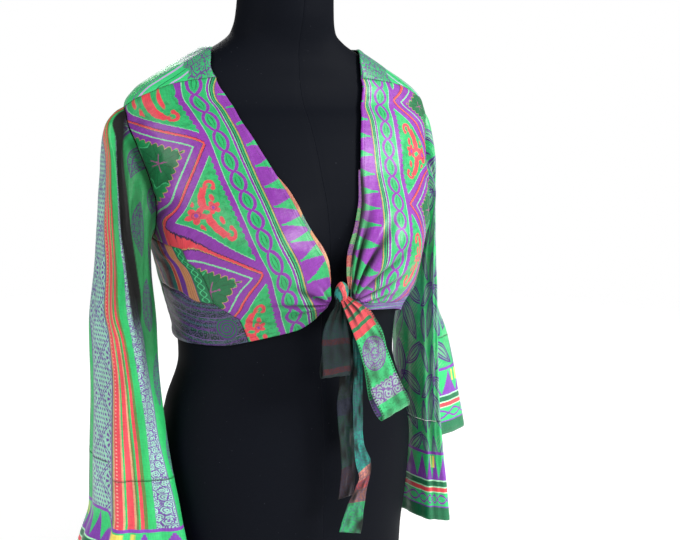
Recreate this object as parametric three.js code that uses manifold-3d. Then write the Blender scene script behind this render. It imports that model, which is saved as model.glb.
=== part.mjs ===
import * as THREE from "three";
import Module from "manifold-3d";

// A cropped wrap top with long wide sleeves, tied at the front, on a limbless dress form.
// Millimetres. +X is the wearer's left, the front faces -Y, and the form stands on z = 0.
// A place on the body is [angle, height]: the angle in degrees from the front centre,
// positive to the wearer's left, and the height above the base.

// Cloth
const WALL = 1.4;
const SEAM_GAP = 0.3;
const CLEARANCE = 4.5;
const HALF_GIRTH = 170;

// Bust of the form
const BUST_X = 86;
const BUST_HEIGHT = 457;
const BUST_DEPTH = 40;
const BUST_WIDTH = 60;
const BUST_RISE = 52;

// Steps of the meshes
const FORM_SIDES = 36;
const FORM_LEVELS = 27;
const PANEL_STEPS = 12;
const DART_STEPS = 2;
const BAND_STEPS = 2;
const PRINCESS_STEPS = 4;
const SIDE_STEPS = 3;
const ARMHOLE_STEPS = 9;
const NECK_STEPS = 3;
const BACK_STEPS = 18;

// The form's level sections: half width, depth to the front and back of the middle, where the
// middle lies, and how square the section is.
const FORM_SECTIONS = [
  { z: 0, half: 152, front: 99, back: 105, mid: 0, square: 0.05 },
  { z: 10, half: 156, front: 103, back: 109, mid: 0, square: 0.05 },
  { z: 70, half: 160, front: 105, back: 113, mid: 0, square: 0.05 },
  { z: 130, half: 168, front: 108, back: 124, mid: 0, square: 0.05 },
  { z: 190, half: 172, front: 108, back: 130, mid: 0, square: 0.05 },
  { z: 250, half: 162, front: 104, back: 118, mid: 0, square: 0.05 },
  { z: 310, half: 145, front: 98, back: 99, mid: 0, square: 0.05 },
  { z: 350, half: 147, front: 100, back: 98, mid: 0, square: 0.06 },
  { z: 400, half: 158, front: 106, back: 104, mid: 0, square: 0.09 },
  { z: 450, half: 171, front: 114, back: 112, mid: 2, square: 0.12 },
  { z: 500, half: 178, front: 114, back: 116, mid: 4, square: 0.12 },
  { z: 540, half: 184, front: 106, back: 116, mid: 8, square: 0.10 },
  { z: 580, half: 196, front: 94, back: 108, mid: 14, square: 0.06 },
  { z: 608, half: 203, front: 80, back: 94, mid: 18, square: 0.03 },
  { z: 626, half: 201, front: 68, back: 80, mid: 20, square: 0 },
  { z: 640, half: 190, front: 61, back: 72, mid: 20, square: 0 },
  { z: 654, half: 170, front: 57, back: 68, mid: 20, square: 0 },
  { z: 672, half: 139, front: 54, back: 64, mid: 19, square: 0 },
  { z: 688, half: 110, front: 51, back: 60, mid: 17, square: 0 },
  { z: 702, half: 84, front: 50, back: 57, mid: 14, square: 0 },
  { z: 714, half: 70, front: 51, back: 55, mid: 11, square: 0 },
  { z: 735, half: 64, front: 54, back: 55, mid: 7, square: 0 },
  { z: 765, half: 62, front: 55, back: 56, mid: 4, square: 0 },
  { z: 785, half: 63, front: 56, back: 57, mid: 3, square: 0 },
  { z: 792, half: 60, front: 53, back: 54, mid: 3, square: 0 },
];

// Where each side's panels meet, as places on the body measured towards that side.
const CUT = {
  right: {
    hem: [[36, 343], [23, 350], [12, 358], [7, 372], [4.5, 396]],
    dart: [[36, 343], [40, 374]],
    dartToSide: [[40, 374], [51, 396]],
    princess: [[51, 396], [53.5, 416], [57.5, 433], [63, 444], [65, 457]],
    sideTop: [[65, 457], [91, 465]],
    bandTop: [[51, 396], [58, 396], [73, 405], [104, 406]],
    bandHem: [[36, 343], [50, 337], [80, 336], [104, 340]],
    neckEnd: [[4.5, 396], [4.5, 412]],
    neckLow: [[4.5, 412], [6.2, 440]],
    neck: [[6.2, 440], [12, 480], [15.2, 517], [19.6, 557], [24.1, 595], [29, 629], [40, 657]],
    shoulder: [[92, 623], [86.5, 625], [75.5, 632], [66.5, 640.5], [59, 648], [40, 657]],
    neckTop: [[40, 657], [50, 670], [58, 680], [72, 691]],
  },
  left: {
    hem: [[51, 386], [40.5, 384], [22, 392], [10, 406], [4.5, 411]],
    princess: [[51, 386], [53.5, 411], [57.5, 433], [63, 444], [65, 457]],
    sideTop: [[65, 457], [91, 465]],
    bandTop: [[51, 386], [58, 388], [73, 396], [104, 404]],
    bandHem: [[4.5, 398], [16.5, 382], [23, 378], [42.5, 371], [70, 358], [104, 340]],
    neckLow: [[4.5, 411], [7.5, 450]],
    neck: [[7.5, 450], [10.5, 482], [13.2, 518], [15.8, 556], [18.6, 592], [24.3, 629], [32, 657]],
    shoulder: [[92, 623], [86.5, 625], [75.5, 632], [66, 641], [57, 648.5], [32, 657]],
    neckTop: [[32, 657], [38.5, 670], [46.5, 680], [64, 691]],
  },
};
const SIDE_SEAM = 104;
const HEM_HEIGHT = 340;
const UNDERARM_HEIGHT = 463;
const ARMHOLE_FRONT = [
  [91, 465], [84, 473], [78.5, 490], [75.5, 512], [79, 532], [81.5, 553], [82.5, 578],
  [84, 594], [86, 612], [92, 623],
];
const ARMHOLE_BACK = [
  [104, 463], [110, 474], [115, 490], [118, 515], [118, 540], [114, 570], [106, 600], [92, 623],
];

// Folds of the bodice: soft ridges from one place to another, narrow and wide as named.
// A gathered one starts at full height where the cloth is bunched by the knot.
const FOLDS = [
  { from: [-6, 410], to: [-21, 446], narrow: 4, wide: 11, height: 4.5, gathered: true },
  { from: [-7, 404], to: [-33, 412], narrow: 4, wide: 12, height: 5, gathered: true },
  { from: [-7, 398], to: [-27, 380], narrow: 4, wide: 10, height: 4, gathered: true },
  { from: [-22, 370], to: [-39, 374], narrow: 5, wide: 6, height: 2.5, gathered: false },
  { from: [5, 416], to: [12, 530], narrow: 4, wide: 8, height: 4, gathered: true },
  { from: [6, 414], to: [21, 512], narrow: 4, wide: 11, height: 6, gathered: true },
  { from: [7, 411], to: [33, 478], narrow: 4, wide: 13, height: 6.5, gathered: true },
  { from: [8, 407], to: [47, 446], narrow: 4, wide: 14, height: 6, gathered: true },
  { from: [8, 402], to: [50, 406], narrow: 4, wide: 10, height: 4.5, gathered: true },
  { from: [-74, 500], to: [-52, 560], narrow: 10, wide: 14, height: 3, gathered: false },
  { from: [74, 505], to: [48, 575], narrow: 10, wide: 15, height: 4, gathered: false },
  { from: [-128, 360], to: [-138, 560], narrow: 14, wide: 20, height: 6, gathered: false },
  { from: [-158, 350], to: [-166, 520], narrow: 12, wide: 18, height: 5, gathered: false },
  { from: [161, 350], to: [171, 545], narrow: 13, wide: 20, height: 5.5, gathered: false },
  { from: [131, 355], to: [139, 530], narrow: 14, wide: 18, height: 6, gathered: false },
];

// Each sleeve hangs from the shoulder: how far its level sections reach away from the body's
// middle plane behind (outer) and in front (ahead), on the side of the body, and to the front
// and back. The hem is lifted over part of the way round.
const SLEEVES = {
  right: {
    sections: [
      { z: 628, outer: 222, ahead: 222, inner: 196, front: -8, back: 56 },
      { z: 618, outer: 229, ahead: 228, inner: 192, front: -24, back: 66 },
      { z: 600, outer: 236, ahead: 235, inner: 190, front: -38, back: 78 },
      { z: 560, outer: 232, ahead: 231, inner: 189, front: -48, back: 88 },
      { z: 500, outer: 237, ahead: 236, inner: 189, front: -53, back: 90 },
      { z: 430, outer: 244, ahead: 243, inner: 187, front: -52, back: 86 },
      { z: 357, outer: 255, ahead: 254, inner: 180, front: -52, back: 80 },
      { z: 270, outer: 257, ahead: 256, inner: 179, front: -55, back: 74 },
      { z: 190, outer: 261, ahead: 260, inner: 181, front: -60, back: 74 },
      { z: 130, outer: 263, ahead: 262, inner: 179, front: -65, back: 76 },
      { z: 90, outer: 276, ahead: 274, inner: 176, front: -70, back: 80 },
      { z: 30, outer: 296, ahead: 294, inner: 172, front: -76, back: 86 },
    ],
    pleats: [
      { top: 60, middle: 84, bottom: 128, high: 618, low: 250, width: 15, depth: 25, fade: 0.25 },
      { top: 24, middle: 30, bottom: 34, high: 540, low: 20, width: 12, depth: 5, fade: 0.9 },
      { top: 215, middle: 225, bottom: 232, high: 560, low: 60, width: 17, depth: 11, fade: 0.7 },
      { top: 292, middle: 300, bottom: 306, high: 600, low: 20, width: 16, depth: 12, fade: 1 },
      { top: 262, middle: 262, bottom: 258, high: 380, low: 20, width: 15, depth: 9, fade: 1 },
      { top: 78, middle: 74, bottom: 70, high: 300, low: 20, width: 13, depth: 7, fade: 1 },
    ],
    ridges: [
      { angle: 140, high: 330, low: 60, width: 24, rise: 33 },
      { angle: 8, high: 150, low: 20, width: 18, rise: 7 },
    ],
    hem: { height: 42, lift: 20, angle: 335, flat: 54, fade: 15 },
  },
  left: {
    sections: [
      { z: 628, outer: 217, ahead: 215, inner: 196, front: -8, back: 56 },
      { z: 618, outer: 220, ahead: 217, inner: 192, front: -20, back: 66 },
      { z: 600, outer: 223, ahead: 217, inner: 190, front: -30, back: 76 },
      { z: 560, outer: 225, ahead: 215, inner: 189, front: -36, back: 84 },
      { z: 500, outer: 227, ahead: 213, inner: 189, front: -38, back: 86 },
      { z: 448, outer: 229, ahead: 212, inner: 187, front: -40, back: 84 },
      { z: 396, outer: 232, ahead: 212, inner: 182, front: -44, back: 84 },
      { z: 350, outer: 240, ahead: 212, inner: 180, front: -47, back: 84 },
      { z: 314, outer: 256, ahead: 212, inner: 179, front: -50, back: 86 },
      { z: 216, outer: 280, ahead: 213, inner: 180, front: -54, back: 88 },
      { z: 173, outer: 288, ahead: 215, inner: 181, front: -57, back: 90 },
      { z: 110, outer: 293, ahead: 221, inner: 179, front: -62, back: 92 },
      { z: 30, outer: 297, ahead: 226, inner: 177, front: -68, back: 94 },
    ],
    pleats: [
      { top: 62, middle: 70, bottom: 76, high: 614, low: 380, width: 14, depth: 16, fade: 0.2 },
      { top: 34, middle: 33, bottom: 30, high: 430, low: 20, width: 13, depth: 7, fade: 1 },
      { top: 112, middle: 108, bottom: 104, high: 470, low: 20, width: 15, depth: 9, fade: 0.9 },
      { top: 218, middle: 226, bottom: 234, high: 540, low: 20, width: 17, depth: 11, fade: 0.9 },
      { top: 288, middle: 296, bottom: 300, high: 590, low: 20, width: 15, depth: 11, fade: 1 },
    ],
    ridges: [
      { angle: 62, high: 330, low: 20, width: 16, rise: 8 },
      { angle: 338, high: 340, low: 20, width: 22, rise: 8 },
    ],
    hem: { height: 68, lift: 104, angle: 322, flat: 68, fade: 18 },
  },
};
const SLEEVE_SIDES = 34;
const SLEEVE_DROPS = [0, 0.012, 0.04, 0.09, 0.16, 0.24, 0.33, 0.43, 0.54, 0.66, 0.78, 0.89, 1];
const SLEEVE_BLEND = [0, 0.5, 0.85, 1];
const SLEEVE_END_STEPS = 4;
const SLEEVE_END_LENGTH = 135;
const SLEEVE_SQUARE = 0.1;
const SLEEVE_SEAM_GAP = 0.6;

// The knot, and the bow's strips: a point of the middle line, how wide the strip is there, and
// the way it lies across, as a turn from +X towards the back and a rise.
const KNOT = { x: -1, y: -150, z: 405, halfWidth: 10, halfDepth: 9, halfHeight: 13 };
const TIE_THICKNESS = 1.6;
const TIE_STEPS = 3;
const TIES = {
  tie_loop_left: [
    { x: 1, y: -152, z: 402, width: 8, turn: 8, rise: 20 },
    { x: 6, y: -157.5, z: 393, width: 17, turn: 8, rise: 24 },
    { x: 14, y: -161, z: 382, width: 27, turn: 8, rise: 26 },
    { x: 24, y: -161, z: 366, width: 31, turn: 6, rise: 27 },
    { x: 36, y: -160, z: 343, width: 36, turn: 6, rise: 26 },
    { x: 53, y: -158, z: 299, width: 41, turn: 5, rise: 25 },
    { x: 64, y: -156, z: 277, width: 42, turn: 4, rise: 24 },
    { x: 75, y: -154, z: 257, width: 42, turn: 4, rise: 22 },
    { x: 76, y: -150, z: 251, width: 42, turn: 4, rise: 20 },
    { x: 72, y: -147, z: 255, width: 42, turn: 4, rise: 17 },
    { x: 63, y: -145.5, z: 272, width: 41, turn: 4, rise: 13 },
    { x: 56, y: -145.5, z: 297, width: 39, turn: 5, rise: 12 },
    { x: 50, y: -146.5, z: 324, width: 36, turn: 6, rise: 14 },
    { x: 42, y: -149.5, z: 352, width: 32, turn: 8, rise: 18 },
    { x: 30, y: -152.5, z: 375, width: 25, turn: 8, rise: 22 },
    { x: 19, y: -154, z: 387, width: 14, turn: 8, rise: 24 },
    { x: 10, y: -153, z: 395.5, width: 9, turn: 8, rise: 24 },
    { x: 2, y: -151, z: 402, width: 6, turn: 8, rise: 20 },
  ],
  tie_loop_right: [
    { x: -2, y: -152, z: 399, width: 7, turn: 0, rise: -4 },
    { x: -3, y: -153, z: 389.5, width: 12, turn: 0, rise: -6 },
    { x: -6, y: -155, z: 380, width: 22, turn: 0, rise: -8 },
    { x: -8, y: -155, z: 362, width: 32, turn: -2, rise: -6 },
    { x: -7, y: -153, z: 340, width: 37, turn: -3, rise: -4 },
    { x: -5, y: -151, z: 318, width: 37, turn: -3, rise: -2 },
    { x: -4, y: -149, z: 307, width: 37, turn: -3, rise: 0 },
    { x: -4, y: -145, z: 303, width: 37, turn: -3, rise: 0 },
    { x: -4, y: -142, z: 309, width: 37, turn: -3, rise: 0 },
    { x: -3, y: -142, z: 323, width: 36, turn: -2, rise: 0 },
    { x: -3, y: -143.5, z: 345, width: 33, turn: 0, rise: 0 },
    { x: -2, y: -146, z: 367, width: 23, turn: 0, rise: 0 },
    { x: -1.5, y: -147.5, z: 384, width: 11, turn: 0, rise: 0 },
    { x: -2, y: -148.5, z: 398, width: 6, turn: 0, rise: 0 },
  ],
  tie_tail_right: [
    { x: 2, y: -146, z: 399, width: 6, turn: 0, rise: 0 },
    { x: 6, y: -143, z: 389, width: 9, turn: 0, rise: 0 },
    { x: 10, y: -139, z: 376, width: 15, turn: 3, rise: 0 },
    { x: 15, y: -136, z: 350, width: 21, turn: 6, rise: 0 },
    { x: 17, y: -135, z: 310, width: 24, turn: 10, rise: 0 },
    { x: 17, y: -134, z: 262, width: 25, turn: 8, rise: 0 },
    { x: 18, y: -134, z: 215, width: 23, turn: 12, rise: 2 },
    { x: 20, y: -135, z: 180, width: 21, turn: 16, rise: 6 },
    { x: 16, y: -135, z: 148, width: 24, turn: 8, rise: 3 },
  ],
  tie_tail_left: [
    { x: 3, y: -149, z: 402, width: 5, turn: 6, rise: 0 },
    { x: 11, y: -149.5, z: 394, width: 6, turn: 6, rise: 0 },
    { x: 19, y: -148, z: 385, width: 7, turn: 6, rise: 0 },
    { x: 25, y: -144, z: 370, width: 10, turn: 0, rise: 0 },
    { x: 29, y: -140.5, z: 330, width: 12, turn: -6, rise: 0 },
    { x: 30, y: -140, z: 262, width: 12, turn: -10, rise: 0 },
    { x: 31, y: -141, z: 215, width: 13, turn: -16, rise: 4 },
    { x: 36, y: -144, z: 191, width: 19, turn: -12, rise: 24 },
    { x: 37, y: -147, z: 179, width: 18, turn: -6, rise: 34 },
    { x: 31, y: -148, z: 162, width: 15, turn: -36, rise: 14 },
    { x: 24, y: -147, z: 138, width: 22, turn: -14, rise: -6 },
    { x: 17, y: -146, z: 106, width: 30, turn: 6, rise: -12 },
  ],
};

// Strips of facing that show inside the neck edges, by height: how wide they show.
const FACINGS = {
  right: [
    { z: 418, width: 4 }, { z: 440, width: 8 }, { z: 480, width: 9.5 },
    { z: 515, width: 8 }, { z: 545, width: 3 },
  ],
  left: [
    { z: 420, width: 3 }, { z: 455, width: 5 }, { z: 490, width: 5 },
    { z: 520, width: 4 }, { z: 548, width: 2.5 },
  ],
};
const FACING_WALL = 1.1;
const FACING_GAP = 0.4;
const FACING_TUCK = 2.5;
const FACING_DROP = 3.5;

const SILK = { color: 0x1fa85b, roughness: 0.45, metalness: 0 };
const SILK_DARK = { color: 0x2b3d5a, roughness: 0.5, metalness: 0 };
const SILK_PURPLE = { color: 0x7b3aa0, roughness: 0.45, metalness: 0 };
const SILK_RED = { color: 0xc24a50, roughness: 0.45, metalness: 0 };
const JERSEY = { color: 0x17191f, roughness: 0.85, metalness: 0 };

const solids = await Module();
solids.setup();
const radians = THREE.MathUtils.degToRad;
const clamp = THREE.MathUtils.clamp;
const lerp = THREE.MathUtils.lerp;

function smooth(value) {
  const t = clamp(value, 0, 1);
  return t * t * (3 - 2 * t);
}

function bell(value) {
  return Math.exp(-value * value);
}

// A smooth curve through one column of a table, over its z column, that never overshoots.
function columnCurve(rows, column) {
  const sorted = [...rows].sort((a, b) => a.z - b.z);
  const x = sorted.map((row) => row.z);
  const y = sorted.map((row) => row[column]);
  const steps = x.slice(1).map((value, i) => value - x[i]);
  const slopes = steps.map((step, i) => (y[i + 1] - y[i]) / step);
  const tangents = y.map((value, i) => {
    if (i === 0) return slopes[0];
    if (i === y.length - 1) return slopes[i - 1];
    if (slopes[i - 1] * slopes[i] <= 0) return 0;
    const before = 2 * steps[i] + steps[i - 1];
    const after = steps[i] + 2 * steps[i - 1];
    return (before + after) / (before / slopes[i - 1] + after / slopes[i]);
  });
  return (at) => {
    const value = clamp(at, x[0], x[x.length - 1]);
    let k = 0;
    while (k < steps.length - 1 && value > x[k + 1]) k += 1;
    const t = (value - x[k]) / steps[k];
    const start = (2 * t ** 3 - 3 * t ** 2 + 1) * y[k];
    const end = (3 * t ** 2 - 2 * t ** 3) * y[k + 1];
    const leave = (t ** 3 - 2 * t ** 2 + t) * steps[k] * tangents[k];
    const arrive = (t ** 3 - t ** 2) * steps[k] * tangents[k + 1];
    return start + end + leave + arrive;
  };
}

function columnCurves(rows, columns) {
  return Object.fromEntries(columns.map((column) => [column, columnCurve(rows, column)]));
}

const formCurves = columnCurves(FORM_SECTIONS, ["half", "front", "back", "mid", "square"]);

// The form: a rounded section at each height, with the bust rising from its front.
function formPoint(angle, z) {
  const sine = Math.sin(angle);
  const cosine = Math.cos(angle);
  const square = formCurves.square(z);
  const depth = cosine > 0 ? formCurves.front(z) : formCurves.back(z);
  const x = formCurves.half(z) * sine * (1 + square * cosine * cosine);
  const bust = bell((x - BUST_X) / BUST_WIDTH) + bell((x + BUST_X) / BUST_WIDTH);
  const rise = BUST_DEPTH * bust * bell((z - BUST_HEIGHT) / BUST_RISE) * smooth(cosine / 0.5);
  const y = formCurves.mid(z) - depth * cosine * (1 + square * sine * sine) - rise;
  return new THREE.Vector3(x, y, z);
}

function formNormal(angle, z) {
  const turn = 0.01;
  const climb = 1.5;
  const around = formPoint(angle + turn, z).sub(formPoint(angle - turn, z));
  const up = formPoint(angle, z + climb).sub(formPoint(angle, z - climb));
  return around.cross(up).normalize();
}

// How far a fold lifts the cloth at a place, by its distance from the fold's line.
function foldLift(fold, angle, z) {
  const startX = radians(fold.from[0]) * HALF_GIRTH;
  const runX = radians(fold.to[0]) * HALF_GIRTH - startX;
  const runZ = fold.to[1] - fold.from[1];
  const x = angle * HALF_GIRTH - startX;
  const rise = z - fold.from[1];
  const along = clamp((x * runX + rise * runZ) / (runX * runX + runZ * runZ), 0, 1);
  const distance = Math.hypot(x - along * runX, rise - along * runZ);
  const width = lerp(fold.narrow, fold.wide, along);
  const fade = fold.gathered ? 1 - smooth(along) : smooth(4 * along * (1 - along));
  return fold.height * fade * bell(distance / width);
}

// The cloth stands off the form: it bridges the hollow above the knot, falls straight from the
// bust to the hem, eases out before the armholes, and rises along its folds.
function clothLift(angle, z) {
  const turned = Math.atan2(Math.sin(angle), Math.cos(angle));
  const front = clamp(Math.cos(turned) / 0.5, 0, 1);
  const bridge = 25 * bell((HALF_GIRTH * Math.sin(turned)) / 52) * bell((z - 415) / 48) * front;
  const under = 8 * bell((z - 402) / 26) * front;
  const ease = 8 * bell((Math.abs(turned) - radians(65)) / radians(25)) * bell((z - 498) / 42);
  const folds = FOLDS.reduce((sum, fold) => sum + foldLift(fold, turned, z), 0);
  return CLEARANCE + bridge + under + ease + folds;
}

function clothPoint(angle, z, offset) {
  const normal = formNormal(angle, z);
  return formPoint(angle, z).addScaledVector(normal, clothLift(angle, z) + offset);
}

// A closed body from vertices and triangles, turned so that its faces point out.
function closedBody(vertices, triangles) {
  let volume = 0;
  for (const [a, b, c] of triangles) {
    volume += vertices[a].dot(vertices[b].clone().cross(vertices[c]));
  }
  const faces = volume > 0 ? triangles : triangles.map(([a, b, c]) => [a, c, b]);
  const geometry = new THREE.BufferGeometry();
  const positions = vertices.flatMap((vertex) => vertex.toArray());
  geometry.setAttribute("position", new THREE.Float32BufferAttribute(positions, 3));
  geometry.setIndex(faces.flat());
  geometry.computeVertexNormals();
  return geometry;
}

function pushQuad(triangles, a, b, c, d) {
  triangles.push([a, b, c], [a, c, d]);
}

// A thin wall between two grids of points: both faces, and the rim around them.
function wallBody(outer, inner) {
  const rows = outer.length;
  const columns = outer[0].length;
  const count = rows * columns;
  const at = (row, column) => row * columns + column;
  const triangles = [];
  for (let row = 0; row < rows - 1; row += 1) {
    for (let column = 0; column < columns - 1; column += 1) {
      const corners = [at(row, column), at(row, column + 1), at(row + 1, column + 1), at(row + 1, column)];
      pushQuad(triangles, ...corners);
      pushQuad(triangles, ...corners.map((index) => index + count).reverse());
    }
  }
  const rim = [];
  for (let column = 0; column < columns - 1; column += 1) rim.push(at(0, column));
  for (let row = 0; row < rows - 1; row += 1) rim.push(at(row, columns - 1));
  for (let column = columns - 1; column > 0; column -= 1) rim.push(at(rows - 1, column));
  for (let row = rows - 1; row > 0; row -= 1) rim.push(at(row, 0));
  rim.forEach((index, i) => {
    const next = rim[(i + 1) % rim.length];
    pushQuad(triangles, index, index + count, next + count, next);
  });
  return closedBody([...outer.flat(), ...inner.flat()], triangles);
}

// An open tube with a wall: rings of points outside and inside, joined at both ends.
function tubeBody(outer, inner) {
  const rings = outer.length;
  const sides = outer[0].length;
  const count = rings * sides;
  const at = (ring, side) => ring * sides + (side % sides);
  const triangles = [];
  for (let side = 0; side < sides; side += 1) {
    for (let ring = 0; ring < rings - 1; ring += 1) {
      const corners = [at(ring, side), at(ring, side + 1), at(ring + 1, side + 1), at(ring + 1, side)];
      pushQuad(triangles, ...corners);
      pushQuad(triangles, ...corners.map((index) => index + count).reverse());
    }
    pushQuad(triangles, at(0, side + 1), at(0, side), at(0, side) + count, at(0, side + 1) + count);
    const last = rings - 1;
    const edge = [at(last, side), at(last, side + 1)];
    pushQuad(triangles, edge[0], edge[1], edge[1] + count, edge[0] + count);
  }
  return closedBody([...outer.flat(), ...inner.flat()], triangles);
}

// A solid body from rings, closed by a point at the middle of each end.
function ringBody(rings) {
  const sides = rings[0].length;
  const vertices = rings.flat();
  const ends = [rings[0], rings[rings.length - 1]];
  for (const ring of ends) {
    const middle = ring.reduce((sum, point) => sum.add(point), new THREE.Vector3());
    vertices.push(middle.divideScalar(sides));
  }
  const first = rings.length * sides;
  const top = (rings.length - 1) * sides;
  const triangles = [];
  for (let side = 0; side < sides; side += 1) {
    const next = (side + 1) % sides;
    for (let ring = 0; ring < rings.length - 1; ring += 1) {
      const low = ring * sides;
      pushQuad(triangles, low + side, low + next, low + sides + next, low + sides + side);
    }
    triangles.push([first, next, side], [first + 1, top + side, top + next]);
  }
  return closedBody(vertices, triangles);
}

function solidOf(geometry) {
  const vertProperties = new Float32Array(geometry.getAttribute("position").array);
  const triVerts = new Uint32Array(geometry.getIndex().array);
  return new solids.Manifold(new solids.Mesh({ numProp: 3, vertProperties, triVerts }));
}

function geometryOf(solid) {
  const mesh = solid.getMesh();
  const geometry = new THREE.BufferGeometry();
  geometry.setAttribute("position", new THREE.Float32BufferAttribute(mesh.vertProperties, 3));
  geometry.setIndex([...mesh.triVerts]);
  geometry.computeVertexNormals();
  return geometry;
}

// Places spread evenly along a line of places, so many steps from end to end.
function walk(places, steps) {
  const scale = radians(1) * HALF_GIRTH;
  const lengths = [0];
  for (let i = 1; i < places.length; i += 1) {
    const across = (places[i][0] - places[i - 1][0]) * scale;
    const step = Math.hypot(across, places[i][1] - places[i - 1][1]);
    lengths.push(lengths[i - 1] + step);
  }
  const total = lengths[lengths.length - 1];
  return Array.from({ length: steps + 1 }, (unused, i) => {
    const goal = (total * i) / steps;
    let k = 0;
    while (k < places.length - 2 && lengths[k + 1] < goal) k += 1;
    const t = clamp((goal - lengths[k]) / (lengths[k + 1] - lengths[k]), 0, 1);
    return [lerp(places[k][0], places[k + 1][0], t), lerp(places[k][1], places[k + 1][1], t)];
  });
}

// Lines of places joined end to end, the shared places counted once.
function join(...lines) {
  return lines.reduce((whole, line) => [...whole, ...line.slice(1)], [lines[0][0]]);
}

// A grid of places inside four edges: the mean of both ways across, less the corners' share.
function fillEdges(bottom, top, start, end) {
  const columns = bottom.length - 1;
  const rows = start.length - 1;
  const mix = (axis, row, column) => {
    const u = column / columns;
    const v = row / rows;
    const across = lerp(start[row][axis], end[row][axis], u);
    const up = lerp(bottom[column][axis], top[column][axis], v);
    const low = lerp(bottom[0][axis], bottom[columns][axis], u);
    const high = lerp(top[0][axis], top[columns][axis], u);
    return across + up - lerp(low, high, v);
  };
  return start.map((unused, row) => bottom.map((place, column) => [mix(0, row, column), mix(1, row, column)]));
}

// Moves the edge points of a grid inwards by half the seam gap, square to the edge.
function insetEdges(grid) {
  const lastRow = grid.length - 1;
  const lastColumn = grid[0].length - 1;
  const moved = grid.map((line) => line.map((point) => point.clone()));
  const pull = (row, column, inRow, inColumn, before, after) => {
    const way = grid[inRow][inColumn].clone().sub(grid[row][column]);
    const edge = after.clone().sub(before).normalize();
    way.addScaledVector(edge, -way.dot(edge)).normalize();
    moved[row][column].addScaledVector(way, SEAM_GAP / 2);
  };
  for (let row = 0; row <= lastRow; row += 1) {
    const below = Math.max(row - 1, 0);
    const above = Math.min(row + 1, lastRow);
    pull(row, 0, row, 1, grid[below][0], grid[above][0]);
    pull(row, lastColumn, row, lastColumn - 1, grid[below][lastColumn], grid[above][lastColumn]);
  }
  for (let column = 0; column <= lastColumn; column += 1) {
    const left = Math.max(column - 1, 0);
    const right = Math.min(column + 1, lastColumn);
    pull(0, column, 1, column, grid[0][left], grid[0][right]);
    pull(lastRow, column, lastRow - 1, column, grid[lastRow][left], grid[lastRow][right]);
  }
  return moved;
}

// A cloth panel over a grid of places on one side of the body.
function panelBody(places, side) {
  const grid = (offset) =>
    insetEdges(places.map((row) => row.map(([angle, z]) => clothPoint(side * radians(angle), z, offset))));
  return wallBody(grid(WALL), grid(0));
}

function named(name, geometry, finish) {
  const mesh = new THREE.Mesh(geometry, new THREE.MeshStandardMaterial(finish));
  mesh.name = name;
  return mesh;
}

function makeForm() {
  const heights = [0, 10];
  const top = FORM_SECTIONS[FORM_SECTIONS.length - 1].z;
  for (let level = 1; level <= FORM_LEVELS; level += 1) {
    heights.push(lerp(10, top, (level / FORM_LEVELS) ** 0.86));
  }
  const rings = heights.map((z) =>
    Array.from({ length: FORM_SIDES }, (unused, i) => formPoint((2 * Math.PI * i) / FORM_SIDES, z)));
  return named("dress_form", ringBody(rings), JERSEY);
}

// The shared edges of one side, each stepped once so that neighbours meet point to point.
function sideEdges(cut) {
  const princess = walk(cut.princess, PRINCESS_STEPS);
  const sideTop = walk(cut.sideTop, SIDE_STEPS);
  const underarm = walk([[91, 465], [SIDE_SEAM, UNDERARM_HEIGHT]], SIDE_STEPS);
  const bandEnd = cut.bandTop[cut.bandTop.length - 1];
  return {
    princess,
    sideTop,
    underarm,
    bandTop: walk(cut.bandTop, 2 * SIDE_STEPS),
    sideSeam: walk([bandEnd, [SIDE_SEAM, UNDERARM_HEIGHT]], PRINCESS_STEPS),
    bandSeam: walk([[SIDE_SEAM, HEM_HEIGHT], bandEnd], BAND_STEPS),
    armholeFront: walk(ARMHOLE_FRONT, ARMHOLE_STEPS),
    armholeBack: walk(ARMHOLE_BACK, ARMHOLE_STEPS),
    shoulder: walk(cut.shoulder, PANEL_STEPS),
  };
}

const edges = { right: sideEdges(CUT.right), left: sideEdges(CUT.left) };
const SIGN = { right: -1, left: 1 };

function frontRightPlaces() {
  const cut = CUT.right;
  const shared = edges.right;
  const outer = join(
    walk(cut.dart, DART_STEPS),
    walk(cut.dartToSide, DART_STEPS),
    shared.princess,
    shared.sideTop,
    shared.armholeFront,
  );
  const neck = join(
    walk(cut.neckEnd, DART_STEPS),
    walk(cut.neckLow, DART_STEPS),
    walk(cut.neck, PRINCESS_STEPS + SIDE_STEPS + ARMHOLE_STEPS),
  );
  return fillEdges(walk(cut.hem, PANEL_STEPS), shared.shoulder, outer, neck);
}

function frontLeftPlaces() {
  const cut = CUT.left;
  const shared = edges.left;
  const outer = join(shared.princess, shared.sideTop, shared.armholeFront);
  const neck = join(
    walk(cut.neckLow, PRINCESS_STEPS),
    walk(cut.neck, SIDE_STEPS + ARMHOLE_STEPS),
  );
  return fillEdges(walk(cut.hem, PANEL_STEPS), shared.shoulder, outer, neck);
}

function makeSidePanel(side) {
  const shared = edges[side];
  const top = join(shared.sideTop, shared.underarm);
  const places = fillEdges(shared.bandTop, top, shared.princess, shared.sideSeam);
  return named(`side_${side}`, panelBody(places, SIGN[side]), SILK_RED);
}

function makeBand(side) {
  const cut = CUT[side];
  const shared = edges[side];
  const start = side === "right" ? cut.dart : [cut.bandHem[0], cut.hem[cut.hem.length - 1]];
  const inner = side === "right" ? walk(cut.dartToSide, DART_STEPS) : walk(cut.hem, PANEL_STEPS).reverse();
  const top = join(inner, shared.bandTop);
  const hem = walk(cut.bandHem, top.length - 1);
  const places = fillEdges(hem, top, walk(start, BAND_STEPS), shared.bandSeam);
  return named(`band_${side}`, panelBody(places, SIGN[side]), SILK_DARK);
}

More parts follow.
